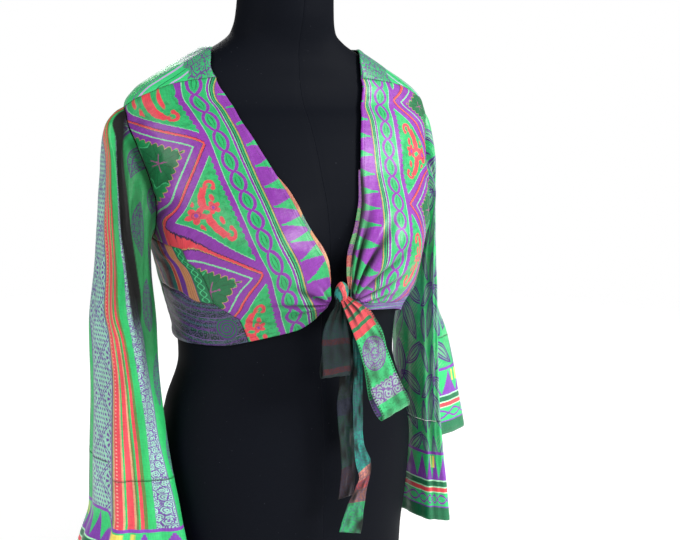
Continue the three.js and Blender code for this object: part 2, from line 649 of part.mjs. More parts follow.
// The back reaches over the shoulders to seams in front of them, and round the neck.
function makeBack() {
  const line = (side) => join(
    edges[side].bandSeam,
    edges[side].sideSeam,
    edges[side].armholeBack,
    [...edges[side].shoulder],
    walk(CUT[side].neckTop, NECK_STEPS),
  );
  const right = line("right").map(([angle, z]) => [-angle, z]);
  const left = line("left").map(([angle, z]) => [angle - 360, z]);
  const between = (a, b) =>
    Array.from({ length: BACK_STEPS + 1 }, (unused, i) => {
      const t = i / BACK_STEPS;
      return [lerp(a[0], b[0], t), lerp(a[1], b[1], t)];
    });
  const places = right.map((place, row) => between(place, left[row]));
  return named("back", panelBody(places, 1), SILK);
}

// A facing strip lies under the neck edge of its panel and shows beyond it, falling back
// towards the form. Its ways across run on along the rows of the panel.
function makeFacing(side, places) {
  const widthAt = columnCurve(FACINGS[side], "width");
  const heights = FACINGS[side].map((row) => row.z);
  const low = Math.min(...heights);
  const high = Math.max(...heights);
  const rows = places.map((row) => row.slice(-2)).filter(([, [, z]]) => z >= low && z <= high);
  const grid = (offset) => rows.map(([near, edge]) => {
    const [start, end] = [near, edge].map(([angle, z]) => clothPoint(SIGN[side] * radians(angle), z, offset));
    const out = end.clone().sub(start).normalize();
    const normal = formNormal(SIGN[side] * radians(edge[0]), edge[1]);
    const width = widthAt(edge[1]);
    return [0, 0.35, 1].map((t) => {
      const reach = -FACING_TUCK + (width + FACING_TUCK) * t;
      const drop = FACING_GAP + FACING_DROP * Math.max(0, t - 0.35);
      return end.clone().addScaledVector(out, reach).addScaledVector(normal, -drop);
    });
  });
  return named(`facing_${side}`, wallBody(grid(0), grid(-FACING_WALL)), SILK_DARK);
}

// The level outline of a sleeve at one height, in the direction of one angle: 0 points away
// from the body, 90 to the front, 180 to the body and 270 to the back.
function sleeveOutline(table) {
  const curves = columnCurves(table.sections, ["outer", "ahead", "inner", "front", "back"]);
  return (angle, z) => {
    const cosine = Math.cos(angle);
    const sine = Math.sin(angle);
    const reach = lerp(curves.outer(z), curves.ahead(z), smooth((sine + 0.1) / 0.9));
    const middleX = (reach + curves.inner(z)) / 2;
    const middleY = (curves.front(z) + curves.back(z)) / 2;
    const halfX = (reach - curves.inner(z)) / 2;
    const halfY = (curves.back(z) - curves.front(z)) / 2;
    const away = halfX * cosine * (1 + SLEEVE_SQUARE * sine * sine);
    const ahead = halfY * sine * (1 + SLEEVE_SQUARE * cosine * cosine);
    const radius = Math.hypot(away, ahead);
    let change = 0;
    for (const pleat of table.pleats) {
      const down = clamp((pleat.high - z) / (pleat.high - pleat.low), 0, 1);
      const first = lerp(pleat.top, pleat.middle, Math.min(1, 2 * down));
      const centre = down < 0.5 ? first : lerp(pleat.middle, pleat.bottom, 2 * down - 1);
      const gap = Math.atan2(Math.sin(angle - radians(centre)), Math.cos(angle - radians(centre)));
      const start = smooth((pleat.high - z) / 45);
      const rest = lerp(1, pleat.fade, smooth(down)) * smooth((z - pleat.low) / 40 + (pleat.low <= 20));
      change -= pleat.depth * start * rest * bell(gap / radians(pleat.width));
    }
    for (const ridge of table.ridges) {
      const gap = Math.atan2(Math.sin(angle - radians(ridge.angle)), Math.cos(angle - radians(ridge.angle)));
      const growth = smooth((ridge.high - z) / (ridge.high - ridge.low));
      change += ridge.rise * growth * bell(gap / radians(ridge.width));
    }
    const scale = (radius + change) / radius;
    return { x: middleX + away * scale, y: middleY - ahead * scale };
  };
}

// The closed line where a sleeve meets the bodice, from the shoulder down the front, under the
// arm and up the back.
function armholeLoop(side) {
  const shared = edges[side];
  const front = [...shared.armholeFront].reverse();
  const back = shared.armholeBack;
  return walk([...front, ...shared.underarm.slice(1), ...back.slice(1)], SLEEVE_SIDES).slice(0, -1);
}

function makeSleeve(side) {
  const table = SLEEVES[side];
  const sign = SIGN[side];
  const outline = sleeveOutline(table);
  const loop = armholeLoop(side);
  const mouths = loop.map(([angle, z]) => clothPoint(sign * radians(angle), z, WALL + SEAM_GAP));
  const middle = mouths.reduce((sum, point) => sum.add(point), new THREE.Vector3()).divideScalar(loop.length);
  const turns = mouths.map((point) => {
    const ahead = middle.y - point.y;
    return Math.atan2(ahead * 1.35, point.z - middle.z);
  });
  const hemAt = (angle) => {
    const centre = radians(table.hem.angle);
    const gap = Math.abs(Math.atan2(Math.sin(angle - centre), Math.cos(angle - centre)));
    const lifted = 1 - smooth((gap - radians(table.hem.flat)) / radians(table.hem.fade));
    return table.hem.height + table.hem.lift * lifted;
  };
  const hang = (i, z, blend) => {
    const at = outline(turns[i], z);
    return new THREE.Vector3(
      lerp(mouths[i].x, sign * at.x, blend),
      lerp(mouths[i].y, at.y, blend),
      z,
    );
  };
  const seams = turns.map((turn) => hemAt(turn) + SLEEVE_END_LENGTH);
  const upper = SLEEVE_DROPS.map((drop, ring) => mouths.map((mouth, i) =>
    hang(i, lerp(mouth.z, seams[i], drop), SLEEVE_BLEND[ring] ?? 1)));
  const lower = Array.from({ length: SLEEVE_END_STEPS }, (unused, ring) => mouths.map((mouth, i) =>
    hang(i, seams[i] - (SLEEVE_END_LENGTH * (ring + 1)) / SLEEVE_END_STEPS, 1)));
  const rings = [...upper, ...lower];
  const faced = rings.map((ring, r) => ring.map((point, i) => {
    const around = ring[(i + 1) % ring.length].clone().sub(ring[(i + ring.length - 1) % ring.length]);
    const above = rings[Math.max(r - 1, 0)][i];
    const below = rings[Math.min(r + 1, rings.length - 1)][i];
    const away = around.cross(below.clone().sub(above)).normalize().multiplyScalar(-sign);
    if (r === 0) {
      const [angle, z] = loop[i];
      const face = formNormal(sign * radians(angle), z);
      away.addScaledVector(face, -away.dot(face)).normalize();
    }
    return [point.clone().addScaledVector(away, WALL), point];
  }));
  const seam = upper.length - 1;
  const apart = rings[seam].map((point, i) => {
    const ring = rings[seam];
    const along = ring[(i + 1) % ring.length].clone().sub(ring[(i + ring.length - 1) % ring.length]).normalize();
    const up = rings[seam - 1][i].clone().sub(rings[seam + 1][i]);
    return up.addScaledVector(along, -up.dot(along)).normalize().multiplyScalar(SLEEVE_SEAM_GAP / 2);
  });
  const cut = (first, last, way) => [0, 1].map((face) =>
    faced.slice(first, last).map((ring, r) => ring.map((pair, i) =>
      pair[face].clone().addScaledVector(apart[i], first + r === seam ? way : 0))));
  return [
    named(`sleeve_${side}`, tubeBody(...cut(0, seam + 1, 1)), SILK),
    named(`sleeve_end_${side}`, tubeBody(...cut(seam, rings.length, -1)), SILK_PURPLE),
  ];
}

function knotBody(spare) {
  const levels = 9;
  const sides = 16;
  const rings = [];
  for (let level = 1; level < levels; level += 1) {
    const up = Math.PI * (level / levels - 0.5);
    rings.push(Array.from({ length: sides }, (unused, i) => {
      const turn = (2 * Math.PI * i) / sides;
      const crease = 1 + 0.1 * Math.cos(3 * turn + 2 * up);
      return new THREE.Vector3(
        KNOT.x + (KNOT.halfWidth * crease + spare) * Math.cos(up) * Math.cos(turn),
        KNOT.y + (KNOT.halfDepth * crease + spare) * Math.cos(up) * Math.sin(turn),
        KNOT.z + (KNOT.halfHeight + spare) * Math.sin(up),
      );
    }));
  }
  return ringBody(rings);
}

// A strip of the bow: a flat section carried along a smooth line through its points. It runs
// into the knot and is cut back to just clear of it.
function makeTie(name, points) {
  const keys = ["x", "y", "z", "width", "turn", "rise"];
  const rows = points.map((point, i) => ({ ...point, at: i }));
  const line = new THREE.CatmullRomCurve3(points.map((point) => new THREE.Vector3(point.x, point.y, point.z)));
  const steps = 2 * (points.length - 1);
  const grid = { front: [], back: [] };
  for (let step = 0; step <= steps; step += 1) {
    const t = step / steps;
    const middle = line.getPoint(t);
    const way = line.getTangent(t);
    const spot = t * (points.length - 1);
    const low = Math.min(Math.floor(spot), points.length - 2);
    const value = (key) => lerp(rows[low][key], rows[low + 1][key], spot - low);
    const turn = radians(value(keys[4]));
    const rise = radians(value(keys[5]));
    const across = new THREE.Vector3(
      Math.cos(turn) * Math.cos(rise),
      Math.sin(turn) * Math.cos(rise),
      Math.sin(rise),
    );
    const face = across.clone().cross(way).normalize();
    const width = value(keys[3]);
    const places = Array.from({ length: TIE_STEPS + 1 }, (unused, i) => i / TIE_STEPS - 0.5);
    for (const [key, offset] of [["front", TIE_THICKNESS / 2], ["back", -TIE_THICKNESS / 2]]) {
      grid[key].push(places.map((place) =>
        middle.clone().addScaledVector(across, place * width).addScaledVector(face, offset)));
    }
  }
  const strip = solidOf(wallBody(grid.front, grid.back));
  return named(name, geometryOf(strip.subtract(solidOf(knotBody(SEAM_GAP)))), SILK_DARK);
}

const top = new THREE.Group();
top.add(makeForm());
top.add(makeBack());
for (const [side, places] of [["right", frontRightPlaces()], ["left", frontLeftPlaces()]]) {
  top.add(named(`front_${side}`, panelBody(places, SIGN[side]), SILK));
  top.add(makeFacing(side, places));
  top.add(makeSidePanel(side));
  top.add(makeBand(side));
  top.add(...makeSleeve(side));
}
top.add(named("tie_knot", knotBody(0), SILK_RED));
for (const [name, points] of Object.entries(TIES)) {
  top.add(makeTie(name, points));
}

export default top;
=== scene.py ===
import math

import bpy
import numpy as np
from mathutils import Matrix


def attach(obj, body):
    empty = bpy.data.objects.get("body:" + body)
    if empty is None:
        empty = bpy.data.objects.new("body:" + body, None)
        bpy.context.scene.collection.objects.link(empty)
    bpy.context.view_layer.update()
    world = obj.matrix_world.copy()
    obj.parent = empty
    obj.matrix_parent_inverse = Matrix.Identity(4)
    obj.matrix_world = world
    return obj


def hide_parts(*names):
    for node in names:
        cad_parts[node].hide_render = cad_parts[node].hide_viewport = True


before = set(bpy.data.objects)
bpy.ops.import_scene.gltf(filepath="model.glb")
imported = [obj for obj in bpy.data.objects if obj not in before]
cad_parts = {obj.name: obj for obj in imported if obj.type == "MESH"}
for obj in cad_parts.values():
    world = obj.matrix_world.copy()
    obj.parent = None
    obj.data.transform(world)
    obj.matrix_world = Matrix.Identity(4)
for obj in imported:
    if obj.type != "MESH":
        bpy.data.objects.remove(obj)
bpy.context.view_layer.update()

bl_info = {
    "name": "Wrap Top on a Dress Form",
    "version": (1, 0, 0),
    "blender": (4, 5, 0),
    "location": "3D View > Sidebar > Wrap Top",
    "description": "A cropped tie-front top in printed silk on a black dress form",
    "category": "Add Mesh",
}

# Lengths below are in millimetres, and go into the meshes in metres. A place on the body is an
# angle in degrees from the front centre, positive to the wearer's left, and a height.
WALL = 1.4
SEAM_GAP = 0.3
CLEARANCE = 4.5
HALF_GIRTH = 170.0
BUST_X, BUST_HEIGHT, BUST_DEPTH, BUST_WIDTH, BUST_RISE = 86.0, 457.0, 40.0, 60.0, 52.0
TOP_OF_FORM = 792.0
PLACE_SCALE = np.array([np.radians(1) * HALF_GIRTH, 1.0])
HEM_WIDTH, HEM_STEP = 6.0, 1.5
FAR = 500.0
# Where the cloth stands off the form: how far, how wide, at what height and over what height.
# It bridges the hollow above the knot, falls straight under the bust, and has ease before the
# armholes, at an angle and over an angle.
BRIDGE_LIFT, BRIDGE_WIDTH, BRIDGE_HEIGHT, BRIDGE_RISE = 25, 52, 415, 48
UNDER_LIFT, UNDER_HEIGHT, UNDER_RISE = 8, 402, 26
EASE_LIFT, EASE_ANGLE, EASE_WIDTH, EASE_HEIGHT, EASE_RISE = 8, 65, 25, 498, 42
# How far a seam is pressed in and over what width, how far a hem stands out, and how much
# thicker it is.
SEAM_PRESS, SEAM_WIDTH, HEM_RAISE, HEM_THICKEN = 0.55, 2.2, 0.35, 0.8
SLEEVE_PRESS, SLEEVE_END_GAP = 0.3, 0.25
# A facing starts under the front's edge, then drops away from it past a share of its width.
FACING_UNDER, FACING_DROP, FACING_FALL, FACING_FLAT, FACING_WALL = 2.5, 0.4, 3.5, 0.35, 0.7
# A strip's half thickness, its steps between two rows, its points across, and how much nearer
# to the edge than on a hem its stitches run.
TIE_HALF_WALL, TIE_STEPS, TIE_ACROSS, TIE_STITCH_SHIFT = 0.5, 14, 19, 3.2
FORM_SIDES, FORM_RINGS, FORM_ROUNDING = 220, 250, 7
# How deep a crease is pressed where the shade painted in it is darkest.
FULL_SHADE_CREASE = {"panel": 5.2, "back": 6.0}

# Height, half width, depth to the front, depth to the back, middle, squareness.
FORM_SECTIONS = np.array([
    (0, 152, 99, 105, 0, 0.05), (10, 156, 103, 109, 0, 0.05), (70, 160, 105, 113, 0, 0.05),
    (130, 168, 108, 124, 0, 0.05), (190, 172, 108, 130, 0, 0.05), (250, 162, 104, 118, 0, 0.05),
    (310, 145, 98, 99, 0, 0.05), (350, 147, 100, 98, 0, 0.06), (400, 158, 106, 104, 0, 0.09),
    (450, 171, 114, 112, 2, 0.12), (500, 178, 114, 116, 4, 0.12), (540, 184, 106, 116, 8, 0.10),
    (580, 196, 94, 108, 14, 0.06), (608, 203, 80, 94, 18, 0.03), (626, 201, 68, 80, 20, 0),
    (640, 190, 61, 72, 20, 0), (654, 170, 57, 68, 20, 0), (672, 139, 54, 64, 19, 0),
    (688, 110, 51, 60, 17, 0), (702, 84, 50, 57, 14, 0), (714, 70, 51, 55, 11, 0),
    (735, 64, 54, 55, 7, 0), (765, 62, 55, 56, 4, 0), (785, 63, 56, 57, 3, 0),
    (792, 60, 53, 54, 3, 0),
])

# Where the panels meet, as places measured towards their own side.
CUT = {
    "right": {
        "hem": [(36, 343), (23, 350), (12, 358), (7, 372), (4.5, 396)],
        "dart": [(36, 343), (40, 374)],
        "dart_to_side": [(40, 374), (51, 396)],
        "princess": [(51, 396), (53.5, 416), (57.5, 433), (63, 444), (65, 457)],
        "side_top": [(65, 457), (91, 465)],
        "band_top": [(51, 396), (58, 396), (73, 405), (104, 406)],
        "band_hem": [(36, 343), (50, 337), (80, 336), (104, 340)],
        "neck_end": [(4.5, 396), (4.5, 412)],
        "neck_low": [(4.5, 412), (6.2, 440)],
        "neck": [(6.2, 440), (12, 480), (15.2, 517), (19.6, 557), (24.1, 595), (29, 629), (40, 657)],
        "shoulder": [(92, 623), (86.5, 625), (75.5, 632), (66.5, 640.5), (59, 648), (40, 657)],
        "neck_top": [(40, 657), (50, 670), (58, 680), (72, 691)],
    },
    "left": {
        "hem": [(51, 386), (40.5, 384), (22, 392), (10, 406), (4.5, 411)],
        "princess": [(51, 386), (53.5, 411), (57.5, 433), (63, 444), (65, 457)],
        "side_top": [(65, 457), (91, 465)],
        "band_top": [(51, 386), (58, 388), (73, 396), (104, 404)],
        "band_hem": [(4.5, 398), (16.5, 382), (23, 378), (42.5, 371), (70, 358), (104, 340)],
        "neck_low": [(4.5, 411), (7.5, 450)],
        "neck": [(7.5, 450), (10.5, 482), (13.2, 518), (15.8, 556), (18.6, 592), (24.3, 629), (32, 657)],
        "shoulder": [(92, 623), (86.5, 625), (75.5, 632), (66, 641), (57, 648.5), (32, 657)],
        "neck_top": [(32, 657), (38.5, 670), (46.5, 680), (64, 691)],
    },
}
SIDE_SEAM, HEM_HEIGHT, UNDERARM_HEIGHT = 104, 340, 463
ARMHOLE_FRONT = [
    (91, 465), (84, 473), (78.5, 490), (75.5, 512), (79, 532), (81.5, 553), (82.5, 578),
    (84, 594), (86, 612), (92, 623),
]
ARMHOLE_BACK = [
    (104, 463), (110, 474), (115, 490), (118, 515), (118, 540), (114, 570), (106, 600), (92, 623),
]

# Folds: start, end, narrow width, wide width, height, gathered. The first rows are the main
# folds, the rest the finer creases between them. A negative height is a crease pressed in.
FOLDS = np.array([
    (-6, 410, -21, 446, 4, 11, 4.5, 1), (-7, 404, -33, 412, 4, 12, 5, 1),
    (-7, 398, -27, 380, 4, 10, 4, 1), (-22, 370, -39, 374, 5, 6, 2.5, 0),
    (5, 416, 12, 530, 4, 8, 4, 1), (6, 414, 21, 512, 4, 11, 6, 1),
    (7, 411, 33, 478, 4, 13, 6.5, 1), (8, 407, 47, 446, 4, 14, 6, 1),
    (8, 402, 50, 406, 4, 10, 4.5, 1), (-74, 500, -52, 560, 10, 14, 3, 0),
    (74, 505, 48, 575, 10, 15, 4, 0), (-128, 360, -138, 560, 14, 20, 6, 0),
    (-158, 350, -166, 520, 12, 18, 5, 0), (161, 350, 171, 545, 13, 20, 5.5, 0),
    (131, 355, 139, 530, 14, 18, 6, 0),
])
CREASES = np.array([
    (6, 414, 12.5, 552, 1.7, 4.6, -9, 1), (6.5, 412, 18.5, 530, 1.8, 5.5, -10, 1),
    (7, 410, 28, 505, 1.8, 5.6, -9, 1), (7.5, 407, 38, 470, 1.8, 5.5, -8.5, 1),
    (8, 405, 47, 436, 2.6, 6.5, -5, 1), (8, 401, 46, 402, 2.4, 6, -4.2, 1),
    (6, 413, 15.5, 530, 1.4, 3.3, 5, 1), (7, 411, 23, 500, 1.4, 3.4, 5.4, 1),
    (8, 408, 33, 462, 1.4, 3.4, 5, 1), (8, 403, 42, 418, 1.4, 3, 4.2, 1),
    (7, 399, 36, 392, 1.5, 3.5, 3, 1),
    (-6, 407, -26, 430, 1.6, 5, -5, 1), (-6.5, 402, -32, 396, 1.6, 5, -5.2, 1),
    (-6.5, 408, -15, 446, 1.4, 4, 3, 1), (-7, 400, -26, 386, 1.4, 3.5, 3.2, 1),
    (-8, 394, -18, 372, 1.6, 4, -4, 1), (-5.5, 411, -19, 452, 1.4, 4, -3.2, 1),
    (-37, 378, -24, 372, 2, 2.5, 1.8, 0), (-39, 372, -20, 366, 2, 2.5, -1.6, 0),
    (-60, 470, -44, 500, 4, 7, 1.6, 0),
    (-79, 488, -58, 520, 3.5, 6, -1.7, 0), (-80, 515, -60, 575, 3.5, 7, 1.6, 0),
    (-64, 452, -50, 476, 3, 5, 1.3, 0), (-84, 600, -60, 610, 4, 7, -1.3, 0),
    (78, 495, 56, 540, 4, 7, -2.2, 0), (80, 520, 58, 590, 4, 7, 2, 0), (64, 462, 50, 500, 4, 7, 2, 0),
    (82, 600, 60, 616, 4, 7, -1.5, 0), (30, 520, 44, 600, 5, 9, 1.3, 0),
    (-116, 480, -140, 560, 5, 9, 2, 0), (-118, 520, -150, 590, 4, 8, -1.8, 0),
    (116, 480, 142, 566, 5, 9, 2.1, 0), (118, 525, 152, 600, 4, 8, -1.8, 0),
    (-100, 348, -112, 440, 5, 8, 1.8, 0), (100, 350, 113, 446, 5, 8, 1.9, 0),
    (-146, 346, -150, 470, 5, 9, -2.2, 0), (146, 346, 152, 480, 5, 9, -2.2, 0),
    (-172, 350, -176, 460, 5, 9, 2, 0), (177, 400, 170, 520, 6, 9, 1.8, 0),
    (-120, 610, -160, 640, 5, 8, 1.6, 0), (122, 612, 158, 644, 5, 8, 1.6, 0),
])

# Sleeve sections: height, outer reach, reach ahead, inner, front, back.
# Pleats: top, middle and bottom angle, high, low, width, depth, fade; ridges: angle, high, low,
# width, rise; hem: height, lift, angle, flat, fade.
SLEEVES = {
    "right": {
        "sections": np.array([
            (628, 222, 222, 196, -8, 56), (618, 229, 228, 192, -24, 66),
            (600, 236, 235, 190, -38, 78), (560, 232, 231, 189, -48, 88),
            (500, 237, 236, 189, -53, 90), (430, 244, 243, 187, -52, 86),
            (357, 255, 254, 180, -52, 80), (270, 257, 256, 179, -55, 74),
            (190, 261, 260, 181, -60, 74), (130, 263, 262, 179, -65, 76),
            (90, 276, 274, 176, -70, 80), (30, 296, 294, 172, -76, 86),
        ]),
        "pleats": [
            (60, 84, 128, 618, 250, 15, 13, 0.25), (12, 52, 104, 620, 345, 9, 14, 0.45),
            (24, 30, 34, 540, 20, 12, 5, 0.9), (215, 225, 232, 560, 60, 17, 11, 0.7),
            (292, 300, 306, 600, 20, 16, 12, 1), (262, 262, 258, 380, 20, 15, 9, 1),
            (78, 74, 70, 300, 20, 13, 7, 1),
        ],
        "ridges": [(140, 330, 60, 24, 33), (8, 150, 20, 18, 7)],
        "creases": [
            (46, 52, 58, 600, 200, 5, 2.6, 0.6), (100, 108, 112, 560, 180, 6, 3.2, 0.5),
            (12, 15, 17, 480, 20, 6, 1.8, 1), (352, 350, 349, 560, 20, 6, 2.2, 1),
            (318, 322, 325, 520, 20, 6, 2.6, 1), (240, 246, 248, 470, 20, 6, 2.8, 1),
            (150, 156, 160, 520, 150, 6, 2.4, 0.7), (90, 92, 93, 240, 20, 6, 2.6, 1),
            (190, 196, 200, 560, 60, 7, 2.6, 0.8), (112, 116, 118, 200, 20, 6, 2.4, 1),
        ],
        "hem": (42, 20, 335, 54, 15),
    },
    "left": {
        "sections": np.array([
            (628, 217, 215, 196, -8, 56), (618, 220, 217, 192, -20, 66),
            (600, 223, 217, 190, -30, 76), (560, 225, 215, 189, -36, 84),
            (500, 227, 213, 189, -38, 86), (448, 229, 212, 187, -40, 84),
            (396, 232, 212, 182, -44, 84), (350, 240, 212, 180, -47, 84),
            (314, 256, 212, 179, -50, 86), (216, 280, 213, 180, -54, 88),
            (173, 288, 215, 181, -57, 90), (110, 293, 221, 179, -62, 92),
            (30, 297, 226, 177, -68, 94),
        ]),
        "pleats": [
            (62, 70, 76, 614, 380, 14, 16, 0.2), (34, 33, 30, 430, 20, 13, 7, 1),
            (112, 108, 104, 470, 20, 15, 9, 0.9), (218, 226, 234, 540, 20, 17, 11, 0.9),
            (288, 296, 300, 590, 20, 15, 11, 1),
        ],
        "ridges": [(62, 330, 20, 16, 8), (338, 340, 20, 22, 8)],
        "creases": [
            (50, 50, 50, 560, 20, 6, 2.4, 0.9), (14, 12, 10, 520, 20, 5, 2, 1),
            (86, 88, 88, 520, 20, 6, 2.6, 0.9), (134, 138, 140, 540, 20, 6, 2.6, 0.8),
            (160, 166, 170, 500, 20, 6, 2.4, 0.9), (196, 200, 204, 560, 20, 7, 2.8, 0.8),
            (250, 254, 258, 500, 20, 6, 2.8, 1), (318, 322, 324, 540, 20, 6, 2.6, 1),
        ],
        "hem": (68, 104, 322, 68, 18),
    },
}
# A sleeve is 34 marks round, with 5 steps to each, and 12 rings long above its end, with 9.
MARKS, MARK_STEPS, RINGS, RING_STEPS, END_STEPS = 34, 5, 12, 9, 44
SLEEVE_DROPS = [0, 0.012, 0.04, 0.09, 0.16, 0.24, 0.33, 0.43, 0.54, 0.66, 0.78, 0.89, 1]
SLEEVE_BLEND = [0, 0.5, 0.85] + [1] * 10
SLEEVE_END_LENGTH, SLEEVE_SQUARE = 135.0, 0.1

# The knot, and each strip of the bow along its length: x, y, z, width, turn and rise.
KNOT = dict(x=1.5, y=-150.0, z=405.0, half_width=8.6, half_depth=9.0, half_height=13.0)
TIES = {
    "tie_loop_left": [
        (1, -152, 402, 8, 8, 20), (6, -157.5, 393, 17, 8, 24), (14, -161, 382, 27, 8, 26),
        (24, -161, 366, 31, 6, 27), (36, -160, 343, 36, 6, 26), (53, -158, 299, 41, 5, 25),
        (64, -156, 277, 42, 4, 24), (75, -154, 257, 42, 4, 22), (76, -150, 251, 42, 4, 20),
        (72, -147, 255, 42, 4, 17), (63, -145.5, 272, 41, 4, 13), (56, -145.5, 297, 39, 5, 12),
        (50, -146.5, 324, 36, 6, 14), (42, -149.5, 352, 32, 8, 18), (30, -152.5, 375, 25, 8, 22),
        (19, -154, 387, 14, 8, 24), (10, -153, 395.5, 9, 8, 24), (2, -151, 402, 6, 8, 20),
    ],
    "tie_loop_right": [
        (-2, -152, 399, 7, 0, -4), (-3, -153, 389.5, 12, 0, -6), (-6, -155, 380, 22, 0, -8),
        (-8, -155, 362, 32, -2, -6), (-7, -153, 340, 37, -3, -4), (-5, -151, 318, 37, -3, -2),
        (-4, -149, 307, 37, -3, 0), (-4, -145, 303, 37, -3, 0), (-4, -142, 309, 37, -3, 0),
        (-3, -142, 323, 36, -2, 0), (-3, -143.5, 345, 33, 0, 0), (-2, -146, 367, 23, 0, 0),
        (-1.5, -147.5, 384, 11, 0, 0), (-2, -148.5, 398, 6, 0, 0),
    ],
    "tie_tail_right": [
        (2, -146, 399, 6, 0, 0), (6, -143, 389, 9, 0, 0), (10, -139, 376, 15, 3, 0),
        (15, -136, 350, 21, 6, 0), (17, -135, 310, 24, 10, 0), (17, -134, 262, 25, 8, 0),
        (18, -134, 215, 23, 12, 2), (20, -135, 180, 21, 16, 6), (16, -135, 148, 24, 8, 3),
    ],
    "tie_tail_left": [
        (3, -149, 402, 5, 6, 0), (11, -149.5, 394, 6, 6, 0), (19, -148, 385, 7, 6, 0),
        (25, -144, 370, 10, 0, 0), (29, -140.5, 330, 12, -6, 0), (30, -140, 262, 12, -10, 0),
        (31, -141, 215, 13, -16, 4), (36, -144, 191, 19, -12, 24), (37, -147, 179, 18, -6, 34),
        (31, -148, 162, 15, -36, 14), (24, -147, 138, 22, -14, -6), (17, -146, 106, 30, 6, -12),
    ],
}

# Strips of facing that show inside the neck edges: height and width.
FACINGS = {
    "right": [(418, 4), (440, 8), (480, 9.5), (515, 8), (545, 0.8)],
    "left": [(420, 3), (455, 5), (490, 4), (520, 1.4), (548, 0.3)],
}

# The middle line of the printed chain on each front, as places, and where the zigzag's points
# touch the border: the print's length is counted from the first, one repeat to the second.
CHAIN = {
    "right": [
        (10.5, 345), (12.9, 363), (16.2, 387), (24.6, 434), (29.5, 476), (31.6, 517),
        (33.2, 545), (35.9, 594), (44.9, 641), (52, 662),
    ],
    "left": [
        (23.4, 386), (23.9, 407), (24.6, 430), (25.0, 451), (26.0, 472), (27.3, 492),
        (28.8, 521), (30.0, 565), (31.6, 615), (40.5, 650), (49, 668),
    ],
}
PRINT_START = {"right": (140.0, 1.0), "left": (49.4, 1.063)}
REPEAT, LINK = 165.0, 27.5
# How far the right front's print is drawn at some places of the bust: length along the chain
# and distance from it, and the two moves. A surface of rounded cones passes through them all.
PRINT_SHIFT = np.array([
    (167.1, 19.6, -2.1, 3.4), (141, 41.5, 3.4, 2.1), (112, 65.1, 11.7, -0.9),
    (82.2, 91.8, 17, -6.9), (72.9, 126.5, 9.6, -21), (58.5, 90.1, 3.4, -5.3),
    (55, 125, 5, -15), (70, 160, 9, -30), (110, 140, 12, -26), (30, 115, 3, -11),
    (40.4, 62.2, 0.9, 2), (18.2, 37.7, 2.4, 6), (-5.9, 15.7, 5.9, 7.3), (-28.7, 40.2, 6.7, 4.8),
    (-56, 65.4, 12, 1.6), (194.5, 54.3, 0.1, -1.7), (225.4, 91.7, -1.2, -9.5), (-60, 0, 0, 0),
    (-60, -25, 0, 0), (0, 0, 0, 0), (0, -25, 0, 0), (55, 0, 0, 0), (55, -25, 0, 0),
    (110, 0, 0, 0), (110, -25, 0, 0), (165, 0, 0, 0), (165, -25, 0, 0), (220, 0, 0, 0),
    (220, -25, 0, 0),
])
SHIFT_ROUNDING = 30.0
# How long the spikes of the border are, how far below its seam the print of a sleeve's end
# starts, the light and shade painted on each silk, brighter for the lit pieces and darker for the
# shaded ones, and the cosine of 45 degrees, for the zigzag.
SPIKE_TIP = {"right": 38.0, "left": 40.0, "back": 26.0}
END_START = {"right": 58.0, "left": 42.0}
PAINTED_LIGHT_AND_SHADE = {
    "front_right": 0.96, "front_left": 1.18, "side": 0.75, "band_right": 0.5, "band_left": 0.9,
    "sleeve_right": 1.12, "sleeve_left": 1.3,
}
DIAGONAL = 0.7071
GIRTH = {"right": 430.0, "left": 396.0}
# The right sleeve's stripes: height, and where round it, in 34ths, four of their edges run.
STRIPE_EDGES = np.array([
    (30, 4.3, 8.1, 9.8, 12.6), (153, 4.3, 7.9, 9.5, 12.0), (193, 4.35, 7.65, 9.1, 11.5),
    (245, 4.3, 7.05, 8.1, 10.4), (297, 4.4, 6.5, 7.2, 9.8), (349, 3.9, 5.9, 6.5, 8.6),
    (380, 2.6, 5.1, 6.0, 7.6), (432, 1.4, 4.2, 5.2, 6.6), (484, 0.2, 2.8, 4.0, 5.0),
    (534, -0.8, 1.7, 3.2, 3.9), (586, -1.2, 1.2, 2.3, 3.0), (611, -1.4, 0.5, 1.4, 2.2),
])
STRIPE_PRINT = (0.0, 29.0, 41.5, 58.0)
# Its deep pleat, where shade is painted: height, the two edges round the sleeve in 34ths, and how dark the
# painted shade is.
PAINTED_PLEAT_SHADE = np.array([
    (330, 7.2, 8.2, 0.0), (349, 7.0, 8.3, 0.35), (380, 6.5, 8.4, 0.9), (432, 5.55, 7.3, 1.0),
    (484, 4.35, 6.1, 1.0), (534, 3.3, 4.95, 1.0), (586, 2.3, 3.3, 1.0), (611, 0.95, 1.9, 1.0),
    (628, 0.3, 1.2, 1.0),
])

# The camera: the picture's width, its focal length and the column of its axis, in pixels; the
# sensor in millimetres; the turn about the form and the look down in degrees; and in metres
# the distance from the form's middle line and the height.
VIEW_WIDTH, VIEW_FOCUS, VIEW_AXIS, SENSOR = 680.0, 1235.0, 287.0, 36.0
CAMERA_TURN, CAMERA_DROP, CAMERA_REACH, CAMERA_HEIGHT = -25.0, 7.8, 1.58, 0.630
ROOM_LIGHT, FLOOR_GLOW = 0.26, 0.42


def ease(value):
    """A step that starts and ends slowly: 3t squared less 2t cubed, with t kept from 0 to 1."""
    t = np.clip(value, 0, 1)
    return t * t * (3 - 2 * t)


def bell(value):
    """A bell: e to the power of minus the square."""
    return np.exp(-value * value)


